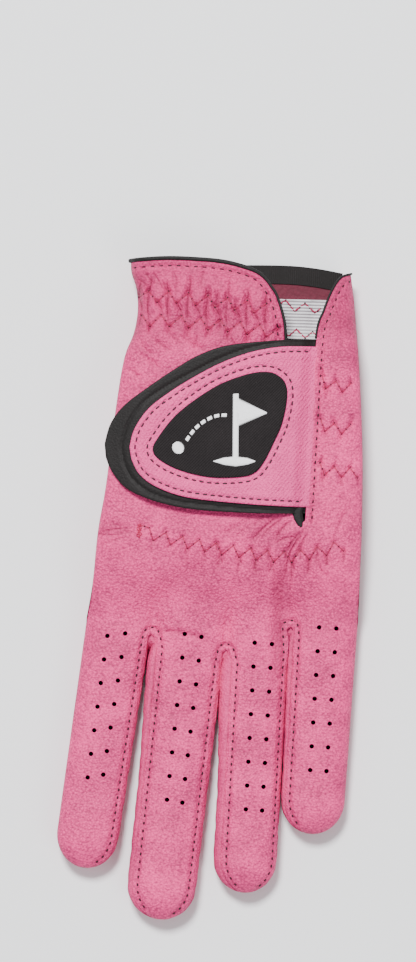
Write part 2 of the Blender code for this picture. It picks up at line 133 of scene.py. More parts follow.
def rounded(points, steps=6, closed=False):
    """Smooth Catmull-Rom curve through points, as an array."""
    pts = np.array(points, float)
    count = len(pts)
    spans = count if closed else count - 1
    curve = []
    for i in range(spans):
        if closed:
            p0, p1, p2, p3 = (pts[(i + k) % count] for k in (-1, 0, 1, 2))
        else:
            p0, p1, p2, p3 = (pts[min(max(i + k, 0), count - 1)] for k in (-1, 0, 1, 2))
        for step in range(steps):
            t = step / steps
            curve.append(0.5 * (2 * p1 + (p2 - p0) * t + (2 * p0 - 5 * p1 + 4 * p2 - p3) * t ** 2
                                + (3 * p1 - p0 - 3 * p2 + p3) * t ** 3))
    if not closed:
        curve.append(pts[-1])
    return np.array(curve)


def lengths_along(path):
    """Distance along a path at each of its points."""
    gaps = np.linalg.norm(np.diff(path, axis=0), axis=1)
    return np.concatenate([[0.0], np.cumsum(gaps)])


def unit(aim):
    """Directions scaled to length 1."""
    return aim / np.maximum(np.linalg.norm(aim, axis=-1, keepdims=True), 1e-9)


def leftward(aim):
    """Unit vectors square to plan directions, to their left."""
    aim = unit(aim)
    return np.column_stack([-aim[:, 1], aim[:, 0]])


def along_path(path, at):
    """Points of a path at distances along it."""
    along = lengths_along(path)
    return np.column_stack([np.interp(at, along, path[:, k]) for k in range(path.shape[1])])


def on_surface(plan, height, lift=0.0):
    """Plan points put on a surface height, or a little above it."""
    return np.column_stack([plan, height(plan[:, 0], plan[:, 1]) + lift])


def closed(loop):
    """Closed path with its first point again at the end."""
    return np.vstack([loop, loop[:1]])


def evenly(path, step, loop=False):
    """The same path with points about step apart."""
    path = closed(path) if loop else np.asarray(path, float)
    total = lengths_along(path)[-1]
    count = max(2, int(round(total / step)) + 1)
    made = along_path(path, np.linspace(0.0, total, count))
    return made[:-1] if loop else made


def offset_path(path, by):
    """Path moved sideways, to its left for a positive distance."""
    return path + leftward(np.gradient(path, axis=0)) * by


def loop_offset(loop, by):
    """Closed outline moved inwards for a positive distance; the outline runs anticlockwise."""
    return loop + leftward(np.roll(loop, -1, axis=0) - np.roll(loop, 1, axis=0)) * by


def nearest(x, y, path):
    """Distance from points to a path, and where along it the nearest place is."""
    along = lengths_along(path)
    best = np.full(np.shape(x), FAR_OFF)
    where = np.zeros(np.shape(x))
    for (ax, ay), (bx, by), start in zip(path, path[1:], along):
        dx, dy = bx - ax, by - ay
        size = dx * dx + dy * dy
        if size < 1e-9:
            continue
        t = np.clip(((x - ax) * dx + (y - ay) * dy) / size, 0.0, 1.0)
        gap = (x - ax - t * dx) ** 2 + (y - ay - t * dy) ** 2
        closer = gap < best
        best = np.where(closer, gap, best)
        where = np.where(closer, start + t * math.sqrt(size), where)
    return np.sqrt(best), where


def close_by(x, y, path, margin=3.0):
    """Which points are near a path, their distances to it, and where along it they are."""
    low, high = path.min(axis=0) - margin, path.max(axis=0) + margin
    zone = (x > low[0]) & (x < high[0]) & (y > low[1]) & (y < high[1])
    if not zone.any():
        return zone, np.zeros(0), np.zeros(0)
    return zone, *nearest(x[zone], y[zone], path)


def hills(x, y, size, seed):
    """Soft irregular waves of about the given size, between -1 and 1."""
    rng = np.random.default_rng(seed)
    total = np.zeros(np.broadcast(x, y).shape)
    for _ in range(7):
        turn = rng.uniform(0.0, math.pi)
        pitch = size * rng.uniform(0.7, 1.6)
        phase = rng.uniform(0.0, 2.0 * math.pi)
        total = total + np.sin((x * math.cos(turn) + y * math.sin(turn)) * 2 * math.pi / pitch + phase)
    return total / 3.5


# ---------------------------------------------------------------- base shape of the hand

LEFT_LINE = rounded(LEFT_EDGE, 4)
RIGHT_LINE = rounded(RIGHT_EDGE, 4)


def edge_x(line, y):
    """X of a side edge at y."""
    return np.interp(-np.asarray(y, float), -line[:, 1], line[:, 0])


def section(across):
    """Height factor of a rounded finger section."""
    inside = 1.0 - np.clip(np.abs(across), 0.0, 1.0) ** SECTION_POWER
    return inside ** (1.0 / SECTION_POWER)


def crown(y):
    """Highest line of the back."""
    top = FINGER_MID + FINGER_HALF
    rise = (BACK_TOP - top) * ramp(y, KNUCKLE_LOW, KNUCKLE_HIGH)
    return top + rise - (BACK_TOP - CUFF_TOP) * ramp(y, WRIST_LOW, WRIST_HIGH)


def palm_floor(y):
    """Lowest line of the palm."""
    return PALM_LIFT * ramp(y, *PALM_RISE) * (1.0 - ramp(y, *PALM_FALL))


def side_height(y):
    """Height of the side seams."""
    return 0.5 * (crown(y) + palm_floor(y))


def edge_factor(x, y):
    """0 at the side edges of the hand, 1 away from them."""
    return quarter_round(side_inset(x, y), EDGE_ROUND)


def finger_place(name, x, y):
    """Distance along a finger from its root line, and distance across from its centre line."""
    finger = FINGERS[name]
    root = finger["root"]
    size = math.hypot(1.0, finger["lean"])
    along = ((x - root[0]) * finger["lean"] - (y - root[1])) / size
    across = ((x - root[0]) + (y - root[1]) * finger["lean"]) / size
    return along, across


def finger_half(name, along):
    """Half width of a finger, and how far its rounded tip has closed (1 before the tip)."""
    finger = FINGERS[name]
    share = np.clip(along / finger["length"], 0.0, 1.0)
    half = finger["half"][0] + (finger["half"][1] - finger["half"][0]) * share
    end = np.clip((along - finger["length"] + TIP_ROUND) / TIP_ROUND, 0.0, 1.0)
    close = np.sqrt(np.clip(1.0 - end * end, 0.0, 1.0))
    return half * close, close


def tip_height(close):
    """Share of a tube's height left where its rounded end has closed so far."""
    return 0.14 * np.clip(close / 0.3, 0.0, 1.0) + 0.86 * close


def finger_rise(name, x, y):
    """Height of a finger's section above its middle."""
    along, across = finger_place(name, x, y)
    half, close = finger_half(name, along)
    rise = FINGER_HALF * tip_height(close)
    return rise * section(across / np.maximum(half, 0.05))


def fingers_rise(x, y, only=None):
    """Height of the row of fingers above their middle, with the leather bridging the crotches."""
    best = np.zeros(np.broadcast(x, y).shape)
    for name in ([only] if only else NAMES):
        best = np.maximum(best, finger_rise(name, x, y))
    inset = np.minimum(x - BRIDGE_SIDES[0], BRIDGE_SIDES[1] - x)
    bridge = CROTCH_RISE * ramp(y, *BRIDGE_RISE) * ramp(inset, 0.0, 6.0)
    return (best ** 4 + bridge ** 4) ** 0.25


def lip_rise(y):
    """How far the leather's outer face stands above the side seam."""
    return (SEAM_GAP + LEATHER) * (1.0 - ramp(y, 4.0, KNUCKLE_LOW))


def side_inset(x, y):
    """Distance in from the sides of the hand."""
    return np.minimum(x - edge_x(LEFT_LINE, y), edge_x(RIGHT_LINE, y) - x)


def lip_round(x, y):
    """How far the leather rolls over at the side seams."""
    return lip_rise(y) * (1.0 - quarter_round(side_inset(x, y), LIP_REACH))


def back_base(x, y, only=None):
    """Outer face of the back, with no seams or creases."""
    lip = side_height(y) + lip_rise(y)
    smooth = lip + (crown(y) - lip) * edge_factor(x, y)
    humps = FINGER_MID + fingers_rise(x, y, only)
    share = ramp(y, 4.0, KNUCKLE_LOW)
    return smooth + (humps - smooth) * share - lip_round(x, y)


def palm_base(x, y, only=None):
    """Outer (lower) face of the palm side."""
    lip = side_height(y) - lip_rise(y)
    smooth = lip + (palm_floor(y) - lip) * edge_factor(x, y)
    humps = FINGER_MID - fingers_rise(x, y, only)
    share = ramp(y, 0.0, KNUCKLE_LOW)
    return smooth + (humps - smooth) * share + lip_round(x, y)


# ---------------------------------------------------------------- edges of the finger leather

NOTCH_REACH = 3.2
NOTCH_ROUND = 0.7


def finger_point(name, along, across):
    """Plan of points at distances along and across a finger."""
    finger = FINGERS[name]
    size = math.hypot(1.0, finger["lean"])
    x = finger["root"][0] + (finger["lean"] * along + across) / size
    y = finger["root"][1] + (-along + finger["lean"] * across) / size
    return np.column_stack([np.broadcast_to(x, np.shape(along)), np.broadcast_to(y, np.shape(along))])


def side_crotch(name, side):
    """Crotch on one side of a finger, or None on the outer side: side 0 is left, 1 is right."""
    if FINGERS[name]["raw"][side] is None:
        return None
    return CROTCH[name] if side == 1 else CROTCH[NAMES[NAMES.index(name) - 1]]


def edge_across(name, side, along):
    """Distance across a finger of its leather's edge on one side."""
    sign = SIGN[side]
    half, _ = finger_half(name, along)
    crotch = side_crotch(name, side)
    if crotch is None:
        return sign * half
    share = abs(FINGERS[name]["raw"][side])
    trim = (1.0 - share) * FINGERS[name]["half"][0]
    target = sign * np.maximum(half - trim * ramp(half, 0.0, 5.0), 0.0)
    top, middle = finger_place(name, *crotch)
    below = np.clip(along - top, 0.0, None)
    opening = np.minimum(np.sqrt(2.0 * NOTCH_ROUND * below), NOTCH_ROUND + 0.12 * below)
    near = middle - sign * opening
    return near + (target - near) * ramp(along, top + 0.3, top + NOTCH_REACH)


def along_steps(name, first=0.0):
    """Distances along a finger, closer together at its tip."""
    length = FINGERS[name]["length"]
    straight = np.arange(first, length - TIP_ROUND, 0.55)
    tip = length - TIP_ROUND + TIP_ROUND * np.sin(np.linspace(0.0, 0.5 * math.pi, 22))
    return np.concatenate([straight, tip])


def edge_path(name, side, first=0.0):
    """Plan of the leather's edge on one side of a finger, from its root to its tip."""
    along = along_steps(name, first)
    return finger_point(name, along, edge_across(name, side, along))


def root_line(name):
    """Plan of the line where a finger's leather meets the hand's, from left to right."""
    left = float(edge_across(name, 0, np.array(0.0)))
    right = float(edge_across(name, 1, np.array(0.0)))
    across = np.linspace(left, right, 33)
    return finger_point(name, np.zeros(33), across)


def finger_outline(name):
    """Plan of a finger's leather."""
    right = edge_path(name, 1)[1:]
    left = edge_path(name, 0)[1:-1]
    return np.vstack([root_line(name), right, left[::-1]])


def knuckle_line():
    """Lower border of the hand's leather, from left to right, with its notches."""
    border = []
    for name in NAMES:
        border.append(root_line(name))
        if name not in CROTCH:
            break
        other = NEXT[name]
        top_here, top_there = (float(finger_place(who, *CROTCH[name])[0]) for who in (name, other))
        if top_here < 0.0:
            along = np.arange(-0.4, top_here + 0.1, -0.4)
            border.append(finger_point(name, along, edge_across(name, 1, along)))
        if min(top_here, top_there) < 0.0:
            border.append(np.array([CROTCH[name]]))
        if top_there < 0.0:
            along = np.arange(top_there + 0.3, -0.1, 0.3)
            border.append(finger_point(other, along, edge_across(other, 0, along)))
    return np.vstack(border)


# ---------------------------------------------------------------- seams, gathers and creases

def zigzag(path, period, height, phase=0.0, first=1.0, skew=0.0):
    """Corner points of a zigzag along a path; first is 1 where it starts with an upper corner."""
    at = np.arange(phase, lengths_along(path)[-1], period / 2.0)
    sign = first * np.where(np.arange(len(at)) % 2 == 0, 1.0, -1.0)
    at = at - skew * (sign < 0)
    normal = leftward(along_path(path, at + 0.1) - along_path(path, at - 0.1))
    return along_path(path, at) + normal * sign[:, None] * height / 2.0


# Rows of zigzag stitching over the elastics
ROW_UPPER = rounded([(-18.2, 76.2), (-10.0, 76.1), (0.0, 75.0), (6.0, 74.3), (13.0, 73.2),
                     (17.2, 72.6)])
ROW_LOWER = rounded([(-18.6, 69.9), (-10.0, 69.9), (0.0, 69.0), (6.0, 68.4), (13.0, 67.4),
                     (18.6, 66.6)])
ROW_KNUCKLE = rounded([(-18.0, 15.4), (-10.0, 13.2), (0.0, 11.2), (8.0, 9.9), (15.0, 8.9),
                       (21.0, 8.6), (26.0, 9.4), (31.0, 10.6), (36.0, 12.0)])
ZIG_UPPER = zigzag(ROW_UPPER, 5.1, 2.9, 0.0, -1.0, 0.4)
ZIG_LOWER = zigzag(ROW_LOWER, 5.1, 2.9, 1.1, 1.0, 0.4)
ZIG_KNUCKLE = zigzag(ROW_KNUCKLE, 4.5, 2.9, 2.2, 1.0, 0.4)
KNUCKLE_THREAD = np.vstack([[(-17.9, 16.9)], ZIG_KNUCKLE])
SIDE_ROWS = [
    rounded([(28.4, 54.6), (31.0, 53.4), (35.0, 52.6), (38.2, 52.4)]),
    rounded([(27.6, 43.6), (30.5, 42.4), (34.5, 41.8), (38.6, 41.6)]),
    rounded([(27.0, 32.4), (30.0, 31.2), (34.0, 30.6), (38.8, 30.4)]),
]
SIDE_ZIGS = [zigzag(row, 4.2, 2.6, 0.4 + 0.5 * i) for i, row in enumerate(SIDE_ROWS)]

CUFF_LEFT = rounded(CUFF_TOP_LEFT)
SLIT_L = rounded(SLIT_LEFT)
SLIT_R = rounded(SLIT_RIGHT)
CUFF_RIGHT = rounded(CUFF_TOP_RIGHT)
CUFF_EDGE = np.vstack([CUFF_LEFT, SLIT_L[1:]])
RIGHT_CUFF_EDGE = np.vstack([SLIT_R, CUFF_RIGHT[1:]])
SEAM_INSET = 1.7
HEM_SEAM = offset_path(CUFF_EDGE, -SEAM_INSET)
HEM_SEAM = HEM_SEAM[HEM_SEAM[:, 1] > 63.0]
STRIP_SEAM = offset_path(RIGHT_CUFF_EDGE, -SEAM_INSET)

# Creases of the back: points, depth of the groove, and how dark its bottom is painted as shade
LONG_CREASES = [
    ([(24.6, 15.6), (22.6, 12.6), (20.8, 9.4), (20.0, 5.0), (19.6, -1.0)], 0.75, 0.5),
    ([(25.6, 15.0), (23.6, 11.2), (22.0, 8.0), (21.2, 3.0)], 0.6, 0.45),
    ([(23.6, 15.0), (21.2, 12.0), (19.8, 8.6)], 0.5, 0.5),
    ([(22.6, 14.0), (19.4, 13.4), (16.2, 11.4)], 0.4, 0.45),
    ([(17.2, 18.9), (13.6, 15.6), (10.9, 13.0), (8.8, 11.6)], 0.5, 0.45),
    ([(19.0, 18.6), (15.4, 15.9), (13.0, 12.8)], 0.45, 0.5),
    ([(21.0, 18.0), (18.2, 15.0), (16.6, 11.6)], 0.45, 0.45),
    ([(12.0, 19.0), (6.0, 16.0), (0.4, 13.4)], 0.25, 0.2),
    ([(14.6, 18.6), (9.0, 15.8), (5.4, 12.4)], 0.25, 0.25),
    ([(-29.6, 13.4), (-27.0, 15.4), (-23.0, 16.0), (-18.6, 16.7)], 0.3, 0.4),
    ([(-29.4, 14.6), (-24.0, 14.5), (-19.0, 15.6)], 0.25, 0.34),
    ([(-28.4, 11.8), (-24.0, 13.2), (-19.4, 14.2)], 0.2, 0.26),
    ([(-27.6, 17.6), (-23.0, 17.0), (-19.4, 16.9)], 0.15, 0.2),
    ([(-22.6, 15.4), (-20.6, 15.2), (-18.4, 15.0)], 0.2, 0.3),
    ([(-18.6, 80.9), (-16.6, 79.6), (-15.2, 78.2)], 0.4, 0.4),
    ([(-14.4, 83.0), (-13.4, 80.9), (-10.9, 77.2)], 0.3, 0.35),
    ([(-9.4, 82.9), (-8.4, 80.8), (-8.6, 77.4), (-8.8, 74.5)], 0.3, 0.35),
    ([(-16.6, 82.9), (-15.0, 80.4), (-11.6, 78.8)], 0.2, 0.35),
    ([(-1.4, 83.2), (-1.9, 80.4), (-2.4, 77.6)], 0.25, 0.3),
    ([(-9.8, 62.0), (-13.0, 64.2), (-15.6, 66.6)], 0.4, 0.3),
    ([(-6.6, 63.4), (-9.6, 66.0), (-12.0, 68.4)], 0.35, 0.3),
    ([(-3.0, 66.6), (-3.4, 64.2), (-4.4, 62.0)], 0.3, 0.3),
    ([(5.4, 65.8), (6.4, 64.2), (8.2, 62.8)], 0.3, 0.3),
    ([(-13.0, 57.6), (-16.4, 60.4), (-19.6, 61.6)], 0.6, 0.12),
    ([(-14.6, 60.6), (-17.0, 63.6), (-18.8, 65.4)], 0.5, 0.15),
    ([(-1.0, 62.4), (-5.6, 64.8), (-8.8, 67.4)], 0.45, 0.2),
    ([(-17.6, 55.0), (-20.6, 57.0), (-22.2, 57.4)], 0.5, 0.1),
    ([(9.0, 64.4), (10.0, 65.6), (10.4, 67.0)], 0.35, 0.2),
    ([(36.6, 22.0), (33.6, 17.0), (31.8, 12.2)], 0.25, 0.2),
    ([(27.4, 9.2), (29.2, 5.2), (32.4, 1.6)], 0.3, 0.2),
    ([(-14.0, -10.4), (-8.0, -11.0), (-2.4, -12.3), (1.8, -15.6)], 0.5, 0.3),
    ([(16.4, 7.4), (17.4, 1.0), (18.0, -5.0)], 0.35, 0.3),
    ([(21.4, 5.4), (20.9, -1.0), (21.0, -7.0)], 0.35, 0.3),
]


def is_upper(zig):
    """For each corner of a zigzag, whether it is an upper one."""
    rise = zig[1][1] > zig[0][1]
    return [(i % 2 == 1) == rise for i in range(len(zig))]


def pulled(zig, up, reach, depth, dark, lean, seed):
    """Creases that run off from the upper or lower corners of a zigzag."""
    rng = np.random.default_rng(seed)
    lines = []
    for (x, y), upper in zip(zig, is_upper(zig)):
        if upper != up and rng.uniform() < 0.55:
            continue
        sign = 1.0 if up else -1.0
        length = reach * rng.uniform(0.45, 1.1)
        drift = lean * length + rng.uniform(-0.9, 0.9)
        bow = rng.uniform(-0.35, 0.35)
        lines.append(([(x, y - 0.5 * sign), (x + 0.5 * drift + bow, y + 0.5 * sign * length),
                       (x + drift, y + sign * length)],
                      depth * rng.uniform(0.6, 1.1), dark * rng.uniform(0.6, 1.1)))
    return lines


def joined_corners(upper, lower, seed):
    """Creases between two zigzags that frame the pillows of leather there."""
    rng = np.random.default_rng(seed)
    lines = []
    for (x, y), high in zip(upper, is_upper(upper)):
        others = [corner for corner, top in zip(lower, is_upper(lower)) if top != high]
        other = min(others, key=lambda corner: abs(corner[0] - x - 0.6))
        if abs(other[0] - x) > 2.4:
            continue
        bow = rng.uniform(0.2, 0.6) * (-1.0 if high else 1.0)
        middle = (0.5 * (x + other[0]) + bow, 0.5 * (y + other[1]))
        lines.append(([(x, y), middle, tuple(other)], rng.uniform(0.6, 1.0),
                      rng.uniform(0.4, 0.8)))
    return lines


def all_creases():
    """Every crease: its smoothed path, the depth of its groove, and how much painted shade it gets."""
    lines = list(LONG_CREASES)
    lines += joined_corners(ZIG_UPPER, ZIG_LOWER, 61)
    lines += pulled(ZIG_UPPER, True, 5.6, 0.7, 0.55, 0.05, 62)
    lines += pulled(ZIG_UPPER, True, 3.2, 0.4, 0.4, -0.3, 82)
    lines += pulled(ZIG_LOWER, False, 3.6, 0.7, 0.55, -0.1, 63)
    knuckle = pulled(ZIG_KNUCKLE, True, 2.2, 0.2, 0.25, 0.1, 64)
    knuckle += pulled(ZIG_KNUCKLE, False, 5.4, 0.4, 0.5, -0.05, 65)
    knuckle += pulled(ZIG_KNUCKLE, False, 3.4, 0.3, 0.5, 0.1, 75)
    for points, depth, dark in knuckle:
        near_slit = 0.35 + 0.65 * float(ramp(points[0][0], -12.0, 8.0))
        lines.append((points, depth * near_slit, dark * near_slit))
    for i, zig in enumerate(SIDE_ZIGS):
        lines += pulled(zig, True, 3.4, 0.45, 0.4, 0.0, 66 + i)
        lines += pulled(zig, False, 3.4, 0.45, 0.4, 0.0, 70 + i)
    return [(rounded(points, 4), depth, dark) for points, depth, dark in lines]


CREASES = all_creases()
ZIGS = [(ZIG_UPPER, 1.0), (ZIG_LOWER, 1.0), (KNUCKLE_THREAD, 0.55)]
ZIGS += [(zig, 0.8) for zig in SIDE_ZIGS]
DEEPEST = -1.0
SOFT_FOLD = np.array([(1.0, 8.0), (-6.0, 3.0), (-13.0, -3.0), (-20.0, -9.0)])
VALLEY = np.array([(19.2, 7.0), (18.2, -2.0), (18.2, -12.0), (17.7, -24.0), (17.2, -36.0)])


def hand_relief(x, y):
    """Gathers, creases and swells of the back: their height, and the painted shade in them."""
    height = 0.16 * hills(x, y, 17.0, 21) + 0.08 * hills(x, y, 6.0, 22)
    dark = np.zeros(np.shape(x))
    for path, depth, shade in CREASES:
        zone, far, where = close_by(x, y, path)
        total = lengths_along(path)[-1]
        ends = ramp(where, -0.1 * total, 0.2 * total) * ramp(where, total, 0.55 * total)
        groove = 0.5 * np.exp(-far / 0.32) + 0.5 * bell(far, 0.85) - 0.2 * bell(far - 1.5, 0.8)
        height[zone] -= depth * ends * groove
        # Painted shade: a dark line at the bottom of the crease, with a softer shade round it
        line = min(1.7 * shade, 0.95) * bell(far, 0.23)
        dark[zone] = np.maximum(dark[zone], ends * np.maximum(line, 0.3 * shade * bell(far, 0.7)))
    for zig, weight in ZIGS:
        zone, near, _ = close_by(x, y, zig)
        corner = np.full(near.shape, FAR_OFF)
        for px, py in zig:
            corner = np.minimum(corner, (x[zone] - px) ** 2 + (y[zone] - py) ** 2)
        height[zone] -= weight * (0.30 * bell(near, 0.5) + 0.42 * np.exp(-corner / 0.6))
        # Painted shade in the zigzag's stitch grooves and needle holes
        stitch_groove_shade = np.maximum(0.42 * bell(near, 0.30), 0.75 * np.exp(-corner / 0.16))
        dark[zone] = np.maximum(dark[zone], weight * stitch_groove_shade)
    far = nearest(x, y, VALLEY)[0]
    low_part = ramp(y, -36.0, -6.0) * ramp(y, 9.0, 2.0)
    height -= 0.7 * bell(far, 2.0) * low_part
    # Painted shade down the long valley
    dark = np.maximum(dark, 0.45 * bell(far, 1.9) * low_part)
    far = nearest(x, y, SOFT_FOLD)[0]
    height = np.maximum(height - 0.4 * bell(far, 3.2), DEEPEST)
    # Painted shade along the soft fold and over the cuff, with a little random tone
    broad_shade_and_tone = 0.05 * bell(far, 3.6) + 0.33 * ramp(y, 58.0, 70.0) + 0.05 * hills(x, y, 22.0, 25)
    dark = 1.0 - (1.0 - dark) * (1.0 - np.clip(broad_shade_and_tone, 0.0, 1.0))
    return height, dark


def finger_stitch_path(name, side):
    """Plan of the seam stitching on one side of a finger."""
    finger = FINGERS[name]
    along = np.linspace(-1.0, finger["length"] - 1.6, 90)
    gap = (abs(finger["raw"][side]) - abs(finger["stitch"][side])) * finger["half"][0]
    edge = np.abs(edge_across(name, side, along))
    return finger_point(name, along, SIGN[side] * np.maximum(edge - gap, 0.2))


CROTCH_TURN = 2.1


def crotch_path(name):
    """Plan of the stitches that run round the crotch on the right of a finger."""
    cx, cy = CROTCH[name]
    left, right = finger_stitch_path(name, 1), finger_stitch_path(NEXT[name], 0)
    left, right = (line[line[:, 1] < cy - 1.8] for line in (left, right))
    turn = np.radians(np.linspace(165.0, 15.0, 9))
    arch = np.column_stack([cx + CROTCH_TURN * np.cos(turn), cy + CROTCH_TURN * np.sin(turn) - 0.2])
    return np.vstack([left[::-1], arch, right])


CROTCH_SEAMS = {name: rounded(crotch_path(name)[::2], 3) for name in CROTCH}


def raw_edges():
    """Cut edges of the fingers' leather, from each crotch down to the tips."""
    paths = []
    for name in CROTCH:
        for who, side in ((name, 1), (NEXT[name], 0)):
            first = float(finger_place(who, *CROTCH[name])[0])
            paths.append(edge_path(who, side, first)[::2])
    return paths


SEAMS = list(CROTCH_SEAMS.values()) + [HEM_SEAM, STRIP_SEAM]
CUT_EDGES = raw_edges() + [CUFF_EDGE, RIGHT_CUFF_EDGE]


def back_surface(x, y, only=None):
    """Outer face of the back with everything on it: its height, and the painted shade of its creases
    and seams.
    """
    x, y = np.broadcast_arrays(np.asarray(x, float), np.asarray(y, float))
    height, dark = hand_relief(x, y)
    height = height + back_base(x, y, only)
    for seam in SEAMS:
        zone, far, _ = close_by(x, y, seam)
        height[zone] += 0.09 * bell(far - 1.1, 0.55) - 0.28 * bell(far, 0.5)
        # Painted shade in the seam grooves
        dark[zone] = np.maximum(dark[zone], 0.30 * bell(far, 0.40))
    for path in CUT_EDGES:
        zone, far, _ = close_by(x, y, path, 1.5)
        height[zone] -= 0.28 * bell(far, 0.32)
    return height, dark


def back_height(x, y, only=None):
    """Outer face of the back."""
    return back_surface(x, y, only)[0]


# ---------------------------------------------------------------- mesh making

EDGE_CLEARANCE = 0.24
ROW_SPACING = 0.866


def inside(x, y, outline):
    """Which points are inside a closed outline."""
    hit = np.zeros(len(x), bool)
    previous = outline[-1]
    for point in outline:
        x1, y1 = point
        x2, y2 = previous
        previous = point
        if y1 == y2:
            continue
        cut = (y1 > y) != (y2 > y)
        hit ^= cut & (x < (x2 - x1) * (y - y1) / (y2 - y1) + x1)
    return hit


def grid(low, high, step):
    """Points of an even triangular grid over a box."""
    xs = np.arange(low[0], high[0], step)
    ys = np.arange(low[1], high[1], step * ROW_SPACING)
    grid_x, grid_y = np.meshgrid(xs, ys)
    grid_x = grid_x + (np.arange(len(ys)) % 2)[:, None] * step * 0.5
    return grid_x.ravel(), grid_y.ravel()


def fill_plan(outline, step, holes=(), extra=None, dense=()):
    """Points and triangles that fill an outline: its holes stay open, its dense boxes are finer."""
    x, y = grid(outline.min(axis=0), outline.max(axis=0), step)
    for left, right, bottom, top, fine in dense:
        keep = ~((x > left) & (x < right) & (y > bottom) & (y < top))
        more_x, more_y = grid((left, bottom), (right, top), fine)
        x, y = np.concatenate([x[keep], more_x]), np.concatenate([y[keep], more_y])
    keep = inside(x, y, outline)
    x, y = x[keep], y[keep]
    loops = [outline] + list(holes)
    for loop in loops:
        keep = nearest(x, y, closed(loop))[0] > EDGE_CLEARANCE
        x, y = x[keep], y[keep]
    for hole in holes:
        keep = ~inside(x, y, hole)
        x, y = x[keep], y[keep]
    points = np.vstack(loops + [np.column_stack([x, y])] + ([extra] if extra is not None else []))
    edges = []
    for loop in loops:
        start, count = len(edges), len(loop)
        edges += [(start + i, start + (i + 1) % count) for i in range(count)]
    found = delaunay_2d_cdt([Vector(p) for p in points], edges, [], 1, 1e-6)
    flat = np.array([tuple(p) for p in found[0]])
    faces = np.array([face for face in found[2] if len(face) == 3])
    a, b, c = (flat[faces[:, k]] for k in range(3))
    turn = (b[:, 0] - a[:, 0]) * (c[:, 1] - a[:, 1]) - (b[:, 1] - a[:, 1]) * (c[:, 0] - a[:, 0])
    faces[turn < 0] = faces[turn < 0][:, ::-1]
    faces = faces[np.abs(turn) > 1e-7]
    for hole in holes:
        middle = flat[faces].mean(axis=1)
        faces = faces[~inside(middle[:, 0], middle[:, 1], hole)]
    return flat, faces


def build(name, verts, faces, materials, normals=None, material_index=None):
    """Make a smooth object from points in millimetres."""
    mesh = bpy.data.meshes.new(name)
    mesh.from_pydata((np.asarray(verts, float) * MM).tolist(), [], faces)
    for made in materials:
        mesh.materials.append(made)
    if material_index is not None:
        mesh.polygons.foreach_set("material_index", np.asarray(material_index, np.int32))
    mesh.polygons.foreach_set("use_smooth", [True] * len(mesh.polygons))
    mesh.update()
    if normals is not None:
        mesh.normals_split_custom_set(normals)
    made = bpy.data.objects.new(name, mesh)
    bpy.context.scene.collection.objects.link(made)
    return made


def surface_normals(height, x, y, step=0.08):
    """Normals of a height over the plan."""
    here = height(x, y)
    slope_x = (height(x + step, y) - here) / step
    slope_y = (height(x, y + step) - here) / step
    return unit(np.column_stack([-slope_x, -slope_y, np.ones(len(x))]))


def open_edges(faces):
    """Edges that only one face uses, in that face's direction."""
    used = {pair: True for face in faces for pair in zip(face, face[1:] + face[:1])}
    return [(a, b) for a, b in used if (b, a) not in used]


def shell(faces, rim, count):
    """Faces of a closed shell: the outer ones, the inner ones turned over, and the rim."""
    inner = [tuple(i + count for i in reversed(face)) for face in faces]
    return faces + inner + [(b, a, a + count, b + count) for a, b in rim]


def store_painted_shade(piece, shade):
    """Store the painted shade of a piece at each of its points, in its crease attribute."""
    dark = piece.data.attributes.new("crease", "FLOAT", "POINT")
    dark.data.foreach_set("value", shade)


def leather_sheet(name, outline, step, height, thickness, materials, holes=(), extra=None,
                  upward=True, taper=False, dense=(), shade=None):
    """Sheet whose outer face is height(x, y), facing up or down; taper thins it at side seams."""
    flat, faces = fill_plan(outline, step, holes, extra, dense)
    x, y = flat[:, 0], flat[:, 1]
    outer = on_surface(flat, height)
    normal = surface_normals(height, x, y)
    sign = 1.0 if upward else -1.0
    depth = np.full(len(x), thickness)
    if taper:
        depth = 0.02 + thickness * ramp(np.abs(outer[:, 2] - side_height(y)), 0.0, 1.1)
    inner = outer - np.column_stack([0.0 * x, 0.0 * x, sign * depth])
    if not upward:
        faces = faces[:, ::-1]
        normal = -normal
    faces = [tuple(face) for face in faces.tolist()]
    rim = open_edges(faces)
    rim_normal = {}
    for a, b in rim:
        along = outer[b] - outer[a]
        out = unit(np.array([along[1], -along[0], 0.0]) * sign)
        for corner in (a, b):
            rim_normal[corner] = rim_normal.get(corner, 0.0) + out
    loops = [normal[i] for face in faces for i in face]
    loops += [-normal[i] for face in faces for i in reversed(face)]
    for a, b in rim:
        at_a, at_b = unit(rim_normal[a]), unit(rim_normal[b])
        loops += [at_b, at_a, at_a, at_b]
    index = [0] * len(faces) + [len(materials) - 1] * len(faces) + [0] * len(rim)
    made = build(name, np.vstack([outer, inner]), shell(faces, rim, len(flat)), materials,
                 [tuple(n) for n in loops], index)
    if shade is not None:
        store_painted_shade(made, np.concatenate([shade(x, y), 0.0 * x]))
    return made


def skin(name, outer, inner, materials, shade=None):
    """Closed shell between an outer and an inner surface, each a list of rows of points."""
    columns = len(outer[0])
    count = len(outer) * columns
    faces = []
    for start in range(0, count - columns, columns):
        for a in range(start, start + columns - 1):
            faces.append((a, a + 1, a + 1 + columns, a + columns))
    rim = sorted(open_edges(faces))
    made = build(name, np.vstack(outer + inner), shell(faces, rim, count), materials)
    if shade is not None:
        store_painted_shade(made, np.tile(shade, 2 * len(outer)))
    return made


